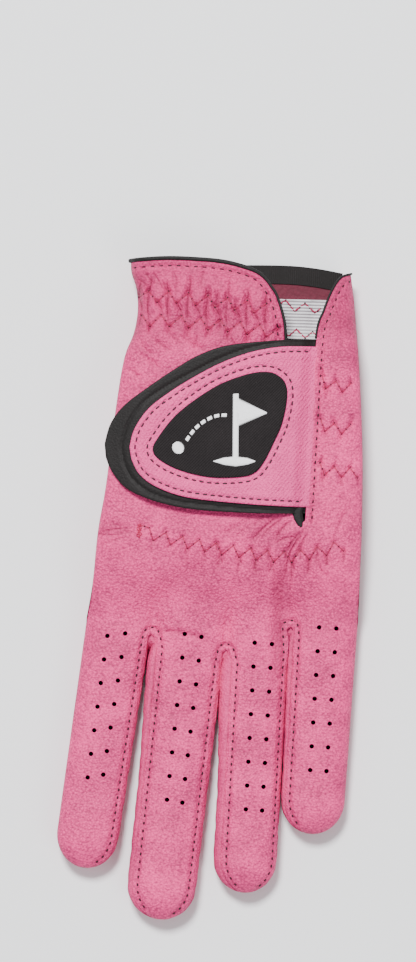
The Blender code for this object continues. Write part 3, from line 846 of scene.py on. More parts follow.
def bead_mesh():
    """Small rounded bead along X, one unit long and one unit wide, as points and faces."""
    rings = 5
    sides = 6
    verts = [(-0.5, 0.0, 0.0)]
    for i in range(1, rings):
        turn = math.pi * i / rings
        wide = 0.5 * math.sin(turn) ** 0.6
        for k in range(sides):
            spin = 2.0 * math.pi * k / sides
            verts.append((-0.5 * math.cos(turn), wide * math.cos(spin), wide * math.sin(spin)))
    verts.append((0.5, 0.0, 0.0))
    last = len(verts) - 1
    top = last - sides
    faces = []
    for k in range(sides):
        ahead = (k + 1) % sides
        faces.append((0, 1 + ahead, 1 + k))
        for low in range(1, top, sides):
            faces.append((low + k, low + ahead, low + ahead + sides, low + k + sides))
        faces.append((top + k, top + ahead, last))
    return np.array(verts), faces


BEAD_VERTS, BEAD_FACES = bead_mesh()

# Length, width and height of each kind of stitch
FINGER_STITCH = (0.86, 0.66, 0.36)
CUFF_STITCH = (1.15, 0.5, 0.34)
SLIT_STITCH = (0.95, 0.58, 0.34)
TAB_STITCH = (1.3, 0.5, 0.36)
BAR_STITCH = (1.15, 0.34, 0.36)
# Size of the dark beads that paint the shade of a needle hole
NEEDLE_HOLE_SHADE = (0.52, 0.5, 0.26)


def beads(name, rows, material):
    """Many beads as one mesh: each has a middle, a direction, an up and (length, width, height)."""
    verts = []
    faces = []
    for middle, aim, up, size in rows:
        start = len(verts) * len(BEAD_VERTS)
        aim = unit(np.asarray(aim, float))
        side = unit(np.cross(up, aim))
        axes = np.array([aim, side, np.cross(aim, side)])
        verts.append((BEAD_VERTS * size) @ axes + middle)
        faces += [tuple(i + start for i in face) for face in BEAD_FACES]
    return build(name, np.vstack(verts), faces, [material])


def stitch_row(path, pitch, size, height, lift=0.0):
    """Beads along a plan path on a surface height: size is their length, width and height."""
    total = lengths_along(path)[-1]
    count = max(1, int(round(total / pitch)))
    at = (np.arange(count) + 0.5) * total / count
    middles, ahead, back = (on_surface(along_path(path, at + by), height)
                            for by in (0.0, size[0] / 2, -size[0] / 2))
    ups = surface_normals(height, middles[:, 0], middles[:, 1])
    return [(*row, size) for row in zip(middles + (0.0, 0.0, lift), ahead - back, ups)]


def sweep(name, path, shape, materials, scale):
    """Sweep a section (side, up) along a 3-D path, scaled sideways at each of its points."""
    aim = unit(np.gradient(path, axis=0))
    side = unit(np.cross(UP, aim))
    rise = np.cross(aim, side)
    count = len(shape)
    verts = []
    for i, place in enumerate(path):
        verts += [place + side[i] * wide * scale[i] + rise[i] * tall for wide, tall in shape]
    faces = []
    for start in range(0, len(verts) - count, count):
        for k in range(count):
            a, b = start + k, start + (k + 1) % count
            faces.append((b, a, a + count, b + count))
    faces.append(tuple(range(count)))
    faces.append(tuple(reversed(range(len(verts) - count, len(verts)))))
    return build(name, verts, faces, materials)


# ---------------------------------------------------------------- materials

# Colour that painted shade darkens a material towards
PAINTED_SHADE_COLOUR = (0.22, 0.10, 0.14)
WAVES_PER_SCALE = 20.0
VEIN_WIDTH = 0.028


class Paint:
    """The nodes of one material, added by short calls that each return an output."""

    def __init__(self, name):
        self.made = bpy.data.materials.new(name)
        self.made.use_nodes = True
        self.tree = self.made.node_tree
        self.place = self.node("TexCoord", {}, "Object")

    def fill(self, node, inputs):
        """Set a node's inputs to values, or link them to outputs."""
        for key, value in inputs.items():
            if isinstance(value, bpy.types.NodeSocket):
                self.tree.links.new(value, node.inputs[key])
            else:
                node.inputs[key].default_value = value

    def node(self, kind, inputs, out=0, **settings):
        """Any kind of node."""
        added = self.tree.nodes.new("ShaderNode" + kind)
        for key, value in settings.items():
            setattr(added, key, value)
        self.fill(added, inputs)
        return added.outputs[out]

    def maths(self, kind, first, second):
        """A sum, difference or the like of two values."""
        return self.node("Math", {0: first, 1: second}, operation=kind)

    def times(self, value, by):
        """A value times another."""
        return self.maths("MULTIPLY", value, by)

    def noise(self, size, detail=3.0, rough=0.55, stretch=1.0):
        """Cloudy noise with blobs of a size in millimetres, stretched across the hand."""
        drawn = self.node("Mapping", {"Vector": self.place, "Scale": (1.0 / stretch, 1.0, 1.0)})
        return self.node("TexNoise", {"Vector": drawn, "Scale": 1.0 / (size * MM),
                                      "Detail": detail, "Roughness": rough}, "Fac")

    def wave(self, turn, pitch):
        """Parallel ribs at a pitch in millimetres, turned by degrees."""
        turned = self.node("Mapping", {"Vector": self.place,
                                       "Rotation": (0.0, 0.0, math.radians(turn))})
        scale = 1.0 / (pitch * MM) * 2.0 * math.pi / WAVES_PER_SCALE
        return self.node("TexWave", {"Vector": turned, "Scale": scale}, "Fac")

    def span(self, value, low, high):
        """A value moved from between low and high to between 0 and 1."""
        return self.node("MapRange", {"Value": value, "From Min": low, "From Max": high}, "Result")

    def between(self, factor, first, second):
        """A colour between two others."""
        return self.node("Mix", {"Factor": factor, 6: first, 7: second}, 2, data_type="RGBA")

    def veins(self, size, stretch, depth):
        """Fine winding lines that come and go: how dark they are, and their bump."""
        away = self.maths("SUBTRACT", self.noise(size, 1.0, 0.5, stretch), 0.5)
        away = self.span(self.maths("ABSOLUTE", away, 0.0), 0.0, VEIN_WIDTH)
        line = self.times(self.maths("SUBTRACT", 1.0, away),
                          self.span(self.noise(6.0), 0.38, 0.6))
        return self.times(line, 0.06), self.times(line, -depth)


def finish(name, colour, roughness, grain=0.0, grain_size=0.8, wrinkle=0.0, wrinkle_size=4.0,
           mottle=0.06, sheen=0.0, weave=None, ribs=None, specular=0.4, shade_colour=PAINTED_SHADE_COLOUR,
           veins=None):
    """Procedural material: a mottled colour with grain, wrinkles, a weave or ribs as bump.

    The colour is in display values. veins are (size, stretch, depth); a weave and ribs are
    (turn in degrees, pitch, depth).
    """
    def toned(factor):
        base = (np.array(colour) / 255.0) ** 2.2
        return (*np.minimum(base * factor, 1.0).tolist(), 1.0)

    paint = Paint(name)
    maths, times, noise, wave = paint.maths, paint.times, paint.noise, paint.wave
    bumps = []
    shade = maths("ADD", times(noise(9.0), 0.36), times(noise(0.45, 3.0, 0.7, 1.3), 0.64))
    if veins:
        dark, bump = paint.veins(*veins)
        shade = maths("SUBTRACT", shade, dark)
        bumps.append(bump)
    if grain:
        cells = paint.node("TexVoronoi", {"Vector": paint.place, "Scale": 1.0 / (grain_size * MM),
                                          "Randomness": 1.0}, "Distance")
        shade = maths("SUBTRACT", maths("ADD", shade, 0.11), times(cells, 0.22))
        bumps += [times(cells, -grain), times(noise(grain_size * 1.3), 0.6 * grain)]
    if wrinkle:
        bumps.append(times(noise(wrinkle_size, 4.0, 0.6, 1.5), wrinkle))
    if weave:
        turn, pitch, depth = weave
        bumps += [times(wave(turn, pitch), depth), times(wave(turn + 90.0, pitch), 0.4 * depth)]
    if ribs:
        turn, pitch, depth = ribs
        bumps.append(times(wave(turn, pitch), depth))
    mottled = paint.between(paint.span(shade, 0.35, 0.65), toned(1.0 - mottle),
                            toned(1.0 + mottle))
    # Painted shade: the crease attribute darkens the colour towards shade_colour where creases,
    # grooves and hollows would lie in shade
    crease = paint.node("Attribute", {}, "Fac", attribute_name="crease")
    shader = paint.tree.nodes["Principled BSDF"]
    paint.fill(shader, {"Base Color": paint.between(crease, mottled, toned(np.array(shade_colour))),
                        "Roughness": roughness, "Specular IOR Level": specular,
                        "Sheen Weight": sheen, "Sheen Roughness": 0.5})
    if bumps:
        height = bumps[0]
        for bump in bumps[1:]:
            height = maths("ADD", height, bump)
        raised = paint.node("Bump", {"Strength": 1.0, "Distance": MM, "Height": height}, "Normal")
        paint.fill(shader, {"Normal": raised})
    return paint.made


PINK = finish("pink_leather", (212, 60, 119), 0.62, grain=0.2, grain_size=0.62, wrinkle=0.16,
              wrinkle_size=0.9, mottle=0.44, specular=0.25, veins=(1.0, 2.2, 0.05))
SIDE_PINK = finish("side_leather", (214, 66, 123), 0.66, grain=0.16, grain_size=0.62, wrinkle=0.2,
                   wrinkle_size=1.6, mottle=0.3, specular=0.2)
# Inner face of the leather: deep pink of the flesh side, made darker as painted shade inside the glove
MAROON = finish("inner_leather_and_painted_shade", (90, 22, 43), 0.75, grain=0.1, mottle=0.15, sheen=0.2)
TAB_PINK = finish("tab_leather", (223, 72, 135), 0.62, grain=0.20, grain_size=0.45, wrinkle=0.2,
                  wrinkle_size=1.2, weave=(38.0, 0.8, 0.07), mottle=0.2, specular=0.25)
BLACK = finish("black_trim", (31, 29, 29), 0.62, grain=0.06, grain_size=0.45, mottle=0.25,
               specular=0.2)
BADGE_BLACK = finish("black_badge", (36, 33, 34), 0.8, weave=(45.0, 0.55, 0.12), mottle=0.25,
                     specular=0.15)
TAPE_BLACK = finish("black_tape", (40, 38, 38), 0.75, ribs=(0.0, 0.5, 0.10), mottle=0.15,
                    specular=0.15)
# The elastic's painted shade darkens towards a grey
ELASTIC = finish("white_elastic", (232, 231, 234), 0.75, mottle=0.04, shade_colour=(0.24, 0.19, 0.22),
                 sheen=0.1)
THREAD = finish("magenta_thread", (158, 18, 70), 0.6, mottle=0.2, sheen=0.1)
BRIGHT_THREAD = finish("bartack_thread", (166, 12, 68), 0.6, mottle=0.2)
# Dark stitching thread: partly the thread's colour, partly painted shade of the stitch holes; also
# colours the painted needle-hole shade
DARK_THREAD_AND_HOLE_SHADE = finish("dark_thread_and_hole_shade", (44, 9, 22), 0.7, mottle=0.2)
TAB_THREAD = finish("tab_thread", (52, 8, 26), 0.6, mottle=0.15, sheen=0.1)
WHITE_THREAD = finish("emblem_thread", (246, 246, 248), 0.45, mottle=0.03, sheen=0.3)
PILE = finish("hook_and_loop", (28, 27, 29), 0.9, grain=0.5, grain_size=0.5, mottle=0.35,
              sheen=0.5)
FLOOR = finish("floor", (240, 241, 243), 0.85, mottle=0.0)


# ---------------------------------------------------------------- parenting pieces and hiding their frame nodes

def label(nodes):
    """Hide the frame nodes that a piece stands for."""
    if nodes:
        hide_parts(*nodes)


def belongs(piece, body, nodes):
    """Parent a piece to the empty of the body it rides on, and hide the frame nodes it stands for."""
    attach(piece, body)
    label(nodes)


def flexes(piece):
    """Bake a piece's transform into its mesh."""
    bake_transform(piece)


FINGER_BEND = 14.0


def bends(piece, name, nodes):
    """Bake a piece's transform into its mesh and hide the frame nodes it stands for."""
    start, end = finger_point(name, np.array([0.0, FINGER_BEND]), np.zeros(2))
    flexes(piece)
    label(nodes)


# ---------------------------------------------------------------- back and palm of the hand

SKIN = 0.7
HAND_STEP = 0.6
FINGER_STEP = 0.5
PALM_CUFF_Y = 84.4
PALM_CUFF = [(37.0, 81.6), (30.0, 83.2), (19.5, PALM_CUFF_Y), (4.0, 84.3), (-20.3, PALM_CUFF_Y)]


def rim_points(line, sign):
    """Extra points just inside a rolled side edge, where its face turns fastest."""
    line = evenly(line, 0.5)
    return np.vstack([line + (sign * inset, 0.0) for inset in (0.06, 0.16, 0.32, 0.55, 0.8)])


DENSE = [(-22.0, 19.5, 61.5, 83.2, 0.32), (24.0, 40.0, 27.0, 58.0, 0.34),
         (-30.0, 40.0, 3.0, 20.0, 0.34)]


def back_shade(x, y):
    """Painted shade of the back's creases, grooves and seams."""
    return back_surface(x, y)[1]


def hand_back():
    """Back of the hand, cut by the slit from the cuff down."""
    left = evenly(LEFT_LINE, 0.45)
    right = evenly(RIGHT_LINE, 0.45)[::-1]
    cuff_right, slit_right, slit_left, cuff_left = (
        evenly(line, 0.4)[::-1] for line in (CUFF_RIGHT, SLIT_R, SLIT_L, CUFF_LEFT))
    outline = np.vstack([left, knuckle_line(), right, cuff_right[1:], slit_right[1:], slit_left,
                         cuff_left[1:-1]])
    extra = np.vstack([rim_points(left, 1.0), rim_points(right, -1.0)])
    extra = extra[(extra[:, 1] < 80.0) & (extra[:, 1] > -6.5)]
    holes = [hole_loop(place) for name in NAMES for place in hole_places(name)
             if finger_place(name, *place)[0] < 0.0]
    made = leather_sheet("hand_back", outline, HAND_STEP, back_height, SKIN, [PINK, MAROON],
                         holes, extra, taper=True, dense=DENSE, shade=back_shade)
    belongs(made, "hand", ["back_panel"])


def palm_relief(x, y, only=None):
    """Lower face of the palm, with soft unevenness."""
    soft = 0.12 * hills(x, y, 16.0, 31) * ramp(side_inset(x, y), 0.0, 5.0)
    return np.maximum(palm_base(x, y, only) + soft, 0.03)


def hand_palm():
    """Palm of the hand, up to the straight palm side of the cuff."""
    left = evenly(LEFT_LINE[LEFT_LINE[:, 1] < PALM_CUFF_Y], 0.8)
    right = evenly(RIGHT_LINE[RIGHT_LINE[:, 1] < PALM_CUFF_Y - 3.0], 0.8)[::-1]
    cuff = evenly(rounded(PALM_CUFF), 0.8)
    outline = np.vstack([left, knuckle_line(), right, cuff[1:-1]])
    made = leather_sheet("hand_palm", outline, 1.2, palm_relief, SKIN, [PINK, MAROON],
                         upward=False, taper=True)
    belongs(made, "hand", ["palm_panel"])


# ---------------------------------------------------------------- fingers

HOLE_RADIUS = 0.62
HOLE_PITCH = 6.2
# For each finger: distance of the first row from the root, shift across, rows, half the gap
# between the columns at the root and at the tip, and how much further on the right column is
HOLE_ROWS = {
    "index": (2.0, -0.3, 7, 2.25, 1.9, -1.3),
    "middle": (-1.9, 0.75, 8, 2.2, 2.0, 0.3),
    "ring": (-1.5, 1.35, 8, 2.25, 2.1, 0.1),
    "pinky": (0.7, 0.75, 7, 2.25, 2.1, 0.0),
}


def hole_places(name):
    """Middles of a finger's perforations: two columns towards its tip."""
    first, shift, rows, near, far, skew = HOLE_ROWS[name]
    along, across = [], []
    for row in range(rows):
        spread = near + (far - near) * row / rows
        for side in (-1.0, 1.0):
            along.append(first + HOLE_PITCH * row + 0.5 * skew * side)
            across.append(shift + side * spread)
    return finger_point(name, np.array(along), np.array(across))


def circle(x, y, radius, sides):
    """Round outline."""
    turn = np.linspace(0.0, 2.0 * math.pi, sides, endpoint=False)
    return np.column_stack([x + radius * np.cos(turn), y + radius * np.sin(turn)])


def hole_loop(place):
    """Round outline of one perforation."""
    return circle(*place, HOLE_RADIUS, 12)


def tip_points(name, side):
    """Extra points just inside the free side and tip of a finger."""
    along = along_steps(name)
    edge = np.abs(edge_across(name, side, along))
    rows = []
    for inset in (0.05, 0.14, 0.3, 0.55, 0.85):
        keep = edge > inset + 0.6
        rows.append(finger_point(name, along[keep], SIGN[side] * (edge[keep] - inset)))
    return np.vstack(rows)


def oval(turn, half, rise):
    """Across and up from a tube's middle, at angles round its section."""
    power = 2.0 / SECTION_POWER
    cosine, sine = np.round(np.cos(turn), 9), np.round(np.sin(turn), 9)
    return (np.sign(cosine) * np.abs(cosine) ** power * half,
            np.sign(sine) * np.abs(sine) ** power * rise)


BULGE = {("middle", 0): 1.2, ("ring", 0): 1.5, ("pinky", 0): 0.9,
         ("index", 1): 0.0, ("middle", 1): 0.1, ("ring", 1): 0.1}
FLANK_REACH = math.radians(50.0)
FLANK_THICK = 0.55
GUSSET_LIP = 7.1
GUSSET_HALF = 2.3
GUSSET_DROP = 4.6


def fourchette(name, side):
    """Side strip between the back and the front of a finger, tucked under both."""
    finger = FINGERS[name]
    along = along_steps(name, -1.0)
    along = along[along < finger["length"] - 0.01]
    spread = np.linspace(-1.0, 1.0, 41)
    turn = spread * FLANK_REACH
    edge = math.acos(abs(finger["raw"][side]) ** (0.5 * SECTION_POWER)) / FLANK_REACH
    tuck = 0.75 * ramp(np.abs(spread), edge - 0.16, edge + 0.05)
    # Painted shade: a dark line where the strip tucks under the raw edge, and a little over all of it
    painted_strip_shade = np.clip(0.75 * bell(np.abs(spread) - edge - 0.02, 0.07) + 0.15, 0.0, 0.9)
    order = slice(None, None, SIGN[side])
    outer, inner = [], []
    for where in along:
        half, close = finger_half(name, np.array(where))
        height = FINGER_HALF * tip_height(close)
        swell = BULGE[(name, side)] * (1.0 - 0.7 * ramp(where, 6.0, 40.0)) * ramp(where, 0.0, 5.0)
        ripple = 0.10 * np.sin(where * 1.1 + 2.0 * spread) * np.sin(where * 0.37)
        inset = tuck - swell * close * np.cos(0.5 * math.pi * spread) ** 1.5 + 0.15 - ripple
        for offset, store in ((0.0, outer), (FLANK_THICK, inner)):
            across, rise = oval(turn, np.maximum(half - inset - offset, 0.02),
                                np.maximum(height - inset - offset, 0.02))
            plan = finger_point(name, np.full(len(turn), where), SIGN[side] * across)
            store.append(np.column_stack([plan, FINGER_MID + rise])[order])
    piece_name = f"{name}_fourchette_{'inner' if side == 1 else 'outer'}"
    made = skin(piece_name + "_leather", outer, inner, [SIDE_PINK], painted_strip_shade[order])
    bends(made, name, [piece_name])


def make_fingers():
    """Leather and side strips of the four fingers."""
    for name, finger in FINGERS.items():
        outline = finger_outline(name)
        holes = [hole_loop(place) for place in hole_places(name)
                 if finger_place(name, *place)[0] > 0.0]
        free = [tip_points(name, side) for side in (0, 1) if finger["raw"][side] is None]
        extra = np.vstack(free) if free else None

        def upper(x, y, who=name):
            return back_height(x, y, who)

        def lower(x, y, who=name):
            return palm_relief(x, y, who)

        made = leather_sheet(name + "_back_leather", outline, FINGER_STEP, upper, SKIN,
                             [PINK, MAROON], holes, extra, taper=True, shade=back_shade)
        bends(made, name, [name + "_back"])
        made = leather_sheet(name + "_front_leather", outline, 0.9, lower, SKIN, [PINK, MAROON],
                             (), extra, upward=False, taper=True)
        bends(made, name, [name + "_front"])
        for side in (0, 1):
            if finger["raw"][side] is not None:
                fourchette(name, side)


def finger_under(x, y, names):
    """The first of some fingers that a place is on, or None."""
    for name in names:
        along, across = finger_place(name, x, y)
        if along > 0.0 and abs(across) < FINGERS[name]["half"][0]:
            return name
    return None


def stitch_groups():
    """Seam stitches of the fingers: those by the crotches stay on the hand."""
    groups = {None: [], **{name: [] for name in NAMES}}
    for name, seam in CROTCH_SEAMS.items():
        for row in stitch_row(seam, 2.0, FINGER_STITCH, back_height, 0.02):
            groups[finger_under(row[0][0], row[0][1], (name, NEXT[name]))].append(row)
    made = beads("crotch_stitches", groups.pop(None), DARK_THREAD_AND_HOLE_SHADE)
    belongs(made, "hand", ())
    for name, rows in groups.items():
        bends(beads(name + "_stitches", rows, DARK_THREAD_AND_HOLE_SHADE), name, ())


def flank_x(name, side, x, y):
    """X of a finger's leather edge on one side, level with places."""
    along = finger_place(name, x, y)[0]
    return finger_point(name, along, edge_across(name, side, along))[:, 0]


def crotch_gussets():
    """Leather that runs down between two fingers under the notch of the back."""
    for name, (cx, cy) in CROTCH.items():
        rows = np.linspace(cy + 1.6, cy - 8.8, 30)
        right, left = flank_x(name, 1, cx, rows), flank_x(NEXT[name], 0, cx, rows)
        lows = right + 0.3 * (left - right)

        def trough(x, y):
            across = np.abs(x - np.interp(-y, -rows, lows))
            floor = GUSSET_LIP - GUSSET_DROP * ramp(y, cy - 0.8, cy - 7.0)
            return np.minimum(floor + 0.5 * across ** 1.8, GUSSET_LIP)

        # Painted shade, growing deeper down between the fingers
        def painted_strip_shade(_, y):
            return 0.2 + 0.6 * ramp(y, cy - 1.2, cy - 4.5)

        sides = [np.column_stack([lows + by, rows]) for by in (-GUSSET_HALF, GUSSET_HALF)]
        made = leather_sheet(f"{name}_crotch_gusset", np.vstack([sides[0], sides[1][::-1]]), 0.5,
                             trough, 0.5, [SIDE_PINK], shade=painted_strip_shade)
        belongs(made, "hand", ())


# ---------------------------------------------------------------- trims of the cuff and the slit

def trim(name, plan, wide, tall, node, slim=None):
    """Bound edge: an oval black tape along a plan path, at the height of the back's edge."""
    plan = evenly(plan, 0.45)
    scale = np.ones(len(plan)) if slim is None else slim(plan)
    z = back_height(plan[:, 0], plan[:, 1]) + 0.13 - 0.5 * SKIN
    z = np.convolve(np.pad(z, 2, mode="edge"), np.ones(5) / 5.0, mode="valid")
    shape = [[0.5 * size * math.copysign(abs(part) ** 0.8, part)
              for size, part in ((wide, math.cos(turn)), (tall, math.sin(turn)))]
             for turn in np.linspace(0.0, 2.0 * math.pi, 14, endpoint=False)]
    made = sweep(name, np.column_stack([plan, z]), shape, [BLACK], scale)
    belongs(made, "hand", [node])


TAIL = evenly(rounded([(21.0, 21.8), (21.5, 19.6), (21.9, 18.2), (22.7, 16.7), (23.7, 15.9),
                       (24.6, 16.4), (24.6, 18.0), (24.3, 19.8), (24.3, 21.8)], 4, True), 0.4, True)


def make_trims():
    """Black binding of the cuff and slit, its tail, and the piping on the right."""
    def thinner(plan):
        return 1.0 - 0.32 * ramp(plan[:, 0], 9.0, 17.0)

    edge = offset_path(rounded(CUFF_TOP_LEFT + SLIT_LEFT[1:-1]), 0.28)
    trim("cuff_binding_tape", edge, 1.15, 1.4, "cuff_binding", thinner)

    def tail_top(x, y):
        return back_base(x, y) + 0.42 - edge_roll(x, y, TAIL, 0.9)

    made = leather_sheet("binding_tail", TAIL, 0.3, tail_top, 1.2, [BLACK])
    belongs(made, "hand", ())
    right = offset_path(rounded(SLIT_RIGHT + CUFF_TOP_RIGHT[1:]), 0.2)
    trim("slit_edge_piping", right[right[:, 1] > 63.5], 0.6, 1.1, "slit_piping")


def ribbon(name, path, width, height, thickness, material, node, step=0.5, shade=None):
    """Flat band of a given width along a plan path, on a surface height."""
    line = evenly(rounded(path), step)
    outline = np.vstack([offset_path(line, -0.5 * width), offset_path(line, 0.5 * width)[::-1]])
    made = leather_sheet(name, outline, step, height, thickness, [material], shade=shade)
    belongs(made, "hand", [node])


RIB_PITCH = 0.82


def palm_inside(x, y):
    """Inner face of the palm."""
    return palm_base(x, y) + SKIN


PALM_BAND = [(-11.0, 82.3), (4.0, 82.4), (19.5, 82.3), (28.0, 81.5), (34.5, 80.2)]
PALM_STRIP = [(-10.0, 70.8), (12.0, 70.8), (32.0, 70.4)]
ZIG_PALM = np.array([
    [(18.6, 74.7), (20.1, 75.6), (22.4, 72.7), (25.1, 74.8), (27.7, 72.3), (29.2, 73.4)],
    [(18.9, 67.4), (20.9, 66.2), (22.9, 68.0), (25.1, 65.6), (27.1, 67.3), (28.8, 65.6)],
])


def make_palm_trims():
    """Black band and ribbed elastic seen inside the palm through the open slit."""
    def band(x, y):
        return palm_inside(x, y) + 0.45

    def rib(x, y):
        return np.cos(2.0 * math.pi * (y + 0.03 * x) / RIB_PITCH)

    def elastic(x, y):
        pucker = 0.3 * np.cos(2.0 * math.pi * x / 5.0) * bell(y - 71.0, 6.0)
        return palm_inside(x, y) + 0.9 + pucker + 0.16 * rib(x, y)

    # Painted shade in the valleys between the elastic's ribs
    def painted_rib_shade(x, y):
        return 0.1 + 0.8 * (0.5 - 0.5 * rib(x, y)) ** 1.4

    ribbon("palm_cuff_band", PALM_BAND, 4.8, band, 1.1, TAPE_BLACK, "palm_cuff_tape")
    ribbon("palm_ribbed_elastic", PALM_STRIP, 10.4, elastic, 0.5, ELASTIC, "palm_elastic",
           0.22, painted_rib_shade)
    zigzag_threads("palm_zigzag", ZIG_PALM, elastic, 0.16, 0.46)


def zigzag_threads(name, zigs, height, lift=0.05, width=0.3):
    """Thread of zigzag seams, two stitches to a leg, with a dark bead at each end as painted shade for
    the needle hole.
    """
    threads, holes = [], []
    for zig in zigs:
        quarters = [a + (b - a) * k / 4.0 for a, b in zip(zig, zig[1:]) for k in range(4)]
        rail = on_surface(np.vstack(quarters + [zig[-1]]), height)
        for start, middle, end in zip(rail[:-2:2], rail[1::2], rail[2::2]):
            size = (0.98 * float(np.linalg.norm(end - start)), width, 0.22)
            threads.append((middle + (0.0, 0.0, lift), end - start, UP, size))
        # Dark beads of painted shade at the needle holes
        spots = np.vstack([zig, 0.5 * (zig[1:] + zig[:-1])])
        holes += [(spot, (1.0, 0.3, 0.0), UP, NEEDLE_HOLE_SHADE)
                  for spot in on_surface(spots, height, 0.02)]
    belongs(beads(name + "_thread", threads, THREAD), "hand", ())
    belongs(beads(name + "_holes", holes, DARK_THREAD_AND_HOLE_SHADE), "hand", ())


def make_hand_stitches():
    """Stitch lines, zigzags and the bar tack on the back of the hand."""
    for name, seam, pitch, size in (("cuff_stitches", HEM_SEAM, 2.25, CUFF_STITCH),
                                    ("slit_stitches", STRIP_SEAM, 2.05, SLIT_STITCH)):
        made = beads(name, stitch_row(seam, pitch, size, back_height), DARK_THREAD_AND_HOLE_SHADE)
        belongs(made, "hand", ())
    zigzag_threads("back_zigzag", [zig for zig, _ in ZIGS], back_height)
    passes = np.arange(12)
    bar = np.column_stack([-18.1 + 0.25 * np.sin(2.1 * passes),
                           np.linspace(16.9, 13.9, len(passes))])
    rows = [(spot, (1.0, 0.7 * (-1) ** i, 0.0), UP, BAR_STITCH)
            for i, spot in enumerate(on_surface(bar, back_height, 0.12))]
    belongs(beads("knuckle_bartack", rows, BRIGHT_THREAD), "hand", ())


# ---------------------------------------------------------------- thumb

THUMB_LENGTH = 48.0
THUMB_HALF = 9.2
THUMB_MID = 3.55
THUMB_TAPER = 0.6
THUMB_SKIN = 0.5
GUSSET_RADIUS = 10.2
GUSSET_TOP = 7.3
GUSSET_START = math.radians(100.0)
GUSSET_SWEEP = math.radians(95.0)


def thumb_half(name, first):
    """Back or front half of the thumb's tube; first is the angle that its section starts at."""
    heading = np.array([math.cos(THUMB_ANGLE), math.sin(THUMB_ANGLE)])
    across = np.array([-heading[1], heading[0]])
    heel = -THUMB_HALF * np.sin(np.linspace(0.5 * math.pi, 0.0, 16))
    straight = np.linspace(0.0, THUMB_LENGTH - TIP_ROUND, 50)[1:]
    tip = THUMB_LENGTH - TIP_ROUND + TIP_ROUND * np.sin(np.linspace(0.0, 0.5 * math.pi, 22))[1:]
    turn = first + np.linspace(0.0, math.pi, 41)
    outer, inner = [], []
    for where in np.concatenate([heel, straight, tip]):
        end = max((where - THUMB_LENGTH + TIP_ROUND) / TIP_ROUND, -where / THUMB_HALF, 0.0)
        close = math.sqrt(max(1.0 - end * end, 0.0))
        half = (THUMB_HALF - THUMB_TAPER * max(where, 0.0) / THUMB_LENGTH) * close
        height = THUMB_MID * float(tip_height(close))
        fold = 1.0 + 0.02 * np.sin(where * 0.5 + 3.0 * np.cos(turn))
        for offset, store in ((0.0, outer), (THUMB_SKIN, inner)):
            side, rise = oval(turn, max(half - offset, 0.0), max(height - offset - 0.1, 0.0) * fold)
            flat = np.array(THUMB_ROOT) + heading * where + np.outer(side, across)
            store.append(np.column_stack([flat, THUMB_MID + rise]))
    made = skin(name + "_leather", outer, inner, [PINK])
    belongs(made, "thumb", [name])


def make_thumb():
    """Thumb tube folded under the palm, and the gusset round its root."""
    thumb_half("thumb_back", 0.0)
    thumb_half("thumb_front", math.pi)
    share = np.linspace(0.0, 1.0, 60)
    turn = THUMB_ANGLE + GUSSET_START + GUSSET_SWEEP * share
    drop = 6.8 * np.sqrt(np.sin(math.pi * share)) + 0.3
    outer, inner = [], []
    for down in np.linspace(0.0, 1.0, 15):
        level = GUSSET_TOP - drop * down
        swell = 0.35 * math.sin(down * math.pi)
        for offset, store in ((LEATHER + swell, outer), (swell, inner)):
            reach = GUSSET_RADIUS + offset
            store.append(np.column_stack([THUMB_ROOT[0] + reach * np.cos(turn),
                                          THUMB_ROOT[1] + reach * np.sin(turn), level]))
    made = skin("thumb_gusset_leather", outer, inner, [PINK])
    belongs(made, "hand", ["thumb_gusset"])


# ---------------------------------------------------------------- closure tab

TAB_UPPER = [(27.0, 65.2), (18.0, 64.8), (5.1, 63.5), (-2.7, 60.9), (-8.9, 57.3), (-15.7, 52.7),
             (-21.9, 48.0), (-25.5, 43.3), (-27.1, 38.0)]
TAB_LOWER = [(-26.8, 34.5), (-25.3, 30.9), (-21.9, 26.8), (-17.2, 24.2), (-10.5, 22.1),
             (-2.7, 20.8), (10.2, 20.0), (24.0, 19.8)]
FACE_UPPER = [(28.6, 63.1), (25.4, 63.2), (18.0, 63.0), (10.2, 61.5), (2.5, 58.6), (-4.8, 54.7),
              (-10.5, 51.1), (-15.7, 47.0), (-19.3, 41.8), (-20.6, 37.1)]
FACE_LOWER = [(-20.1, 34.0), (-18.3, 30.4), (-14.6, 27.3), (-8.9, 24.9), (-2.7, 23.6),
              (10.2, 22.3), (22.4, 21.6), (26.2, 21.5)]
BADGE = [(-14.6, 36.6), (-13.1, 39.7), (-9.5, 44.4), (-4.8, 48.5), (2.5, 53.2), (10.2, 56.0),
         (15.4, 56.5), (18.5, 55.2), (20.1, 52.7), (20.1, 48.5), (18.8, 42.8), (17.0, 38.7),
         (14.4, 33.5), (11.8, 30.4), (7.7, 29.3), (-0.1, 29.3), (-7.9, 31.2), (-13.1, 34.0)]
TAB_ROOT_LOW = (24.2, 20.0)
TAB_ROOT_HIGH = (27.2, 65.2)
LAYER_GAP = 0.25
LOOP_THICK = 0.6
HOOK_THICK = 0.6
BASE_THICK = 0.8
FACE_THICK = 0.7
BADGE_THICK = 0.5
TAB_SINK = 1.5
TAB_DROOP = 2.6
HOOK_BOX = (-13.5, 9.0, 32.0, 50.0)
LOOP_BOX = (-15.0, 11.5, 30.0, 52.0)


def from_root(x, y):
    """Distance to the left of the line where the tab is sewn down."""
    low, high = np.array(TAB_ROOT_LOW), np.array(TAB_ROOT_HIGH)
    aim = unit(high - low)
    return (y - low[1]) * aim[0] - (x - low[0]) * aim[1]


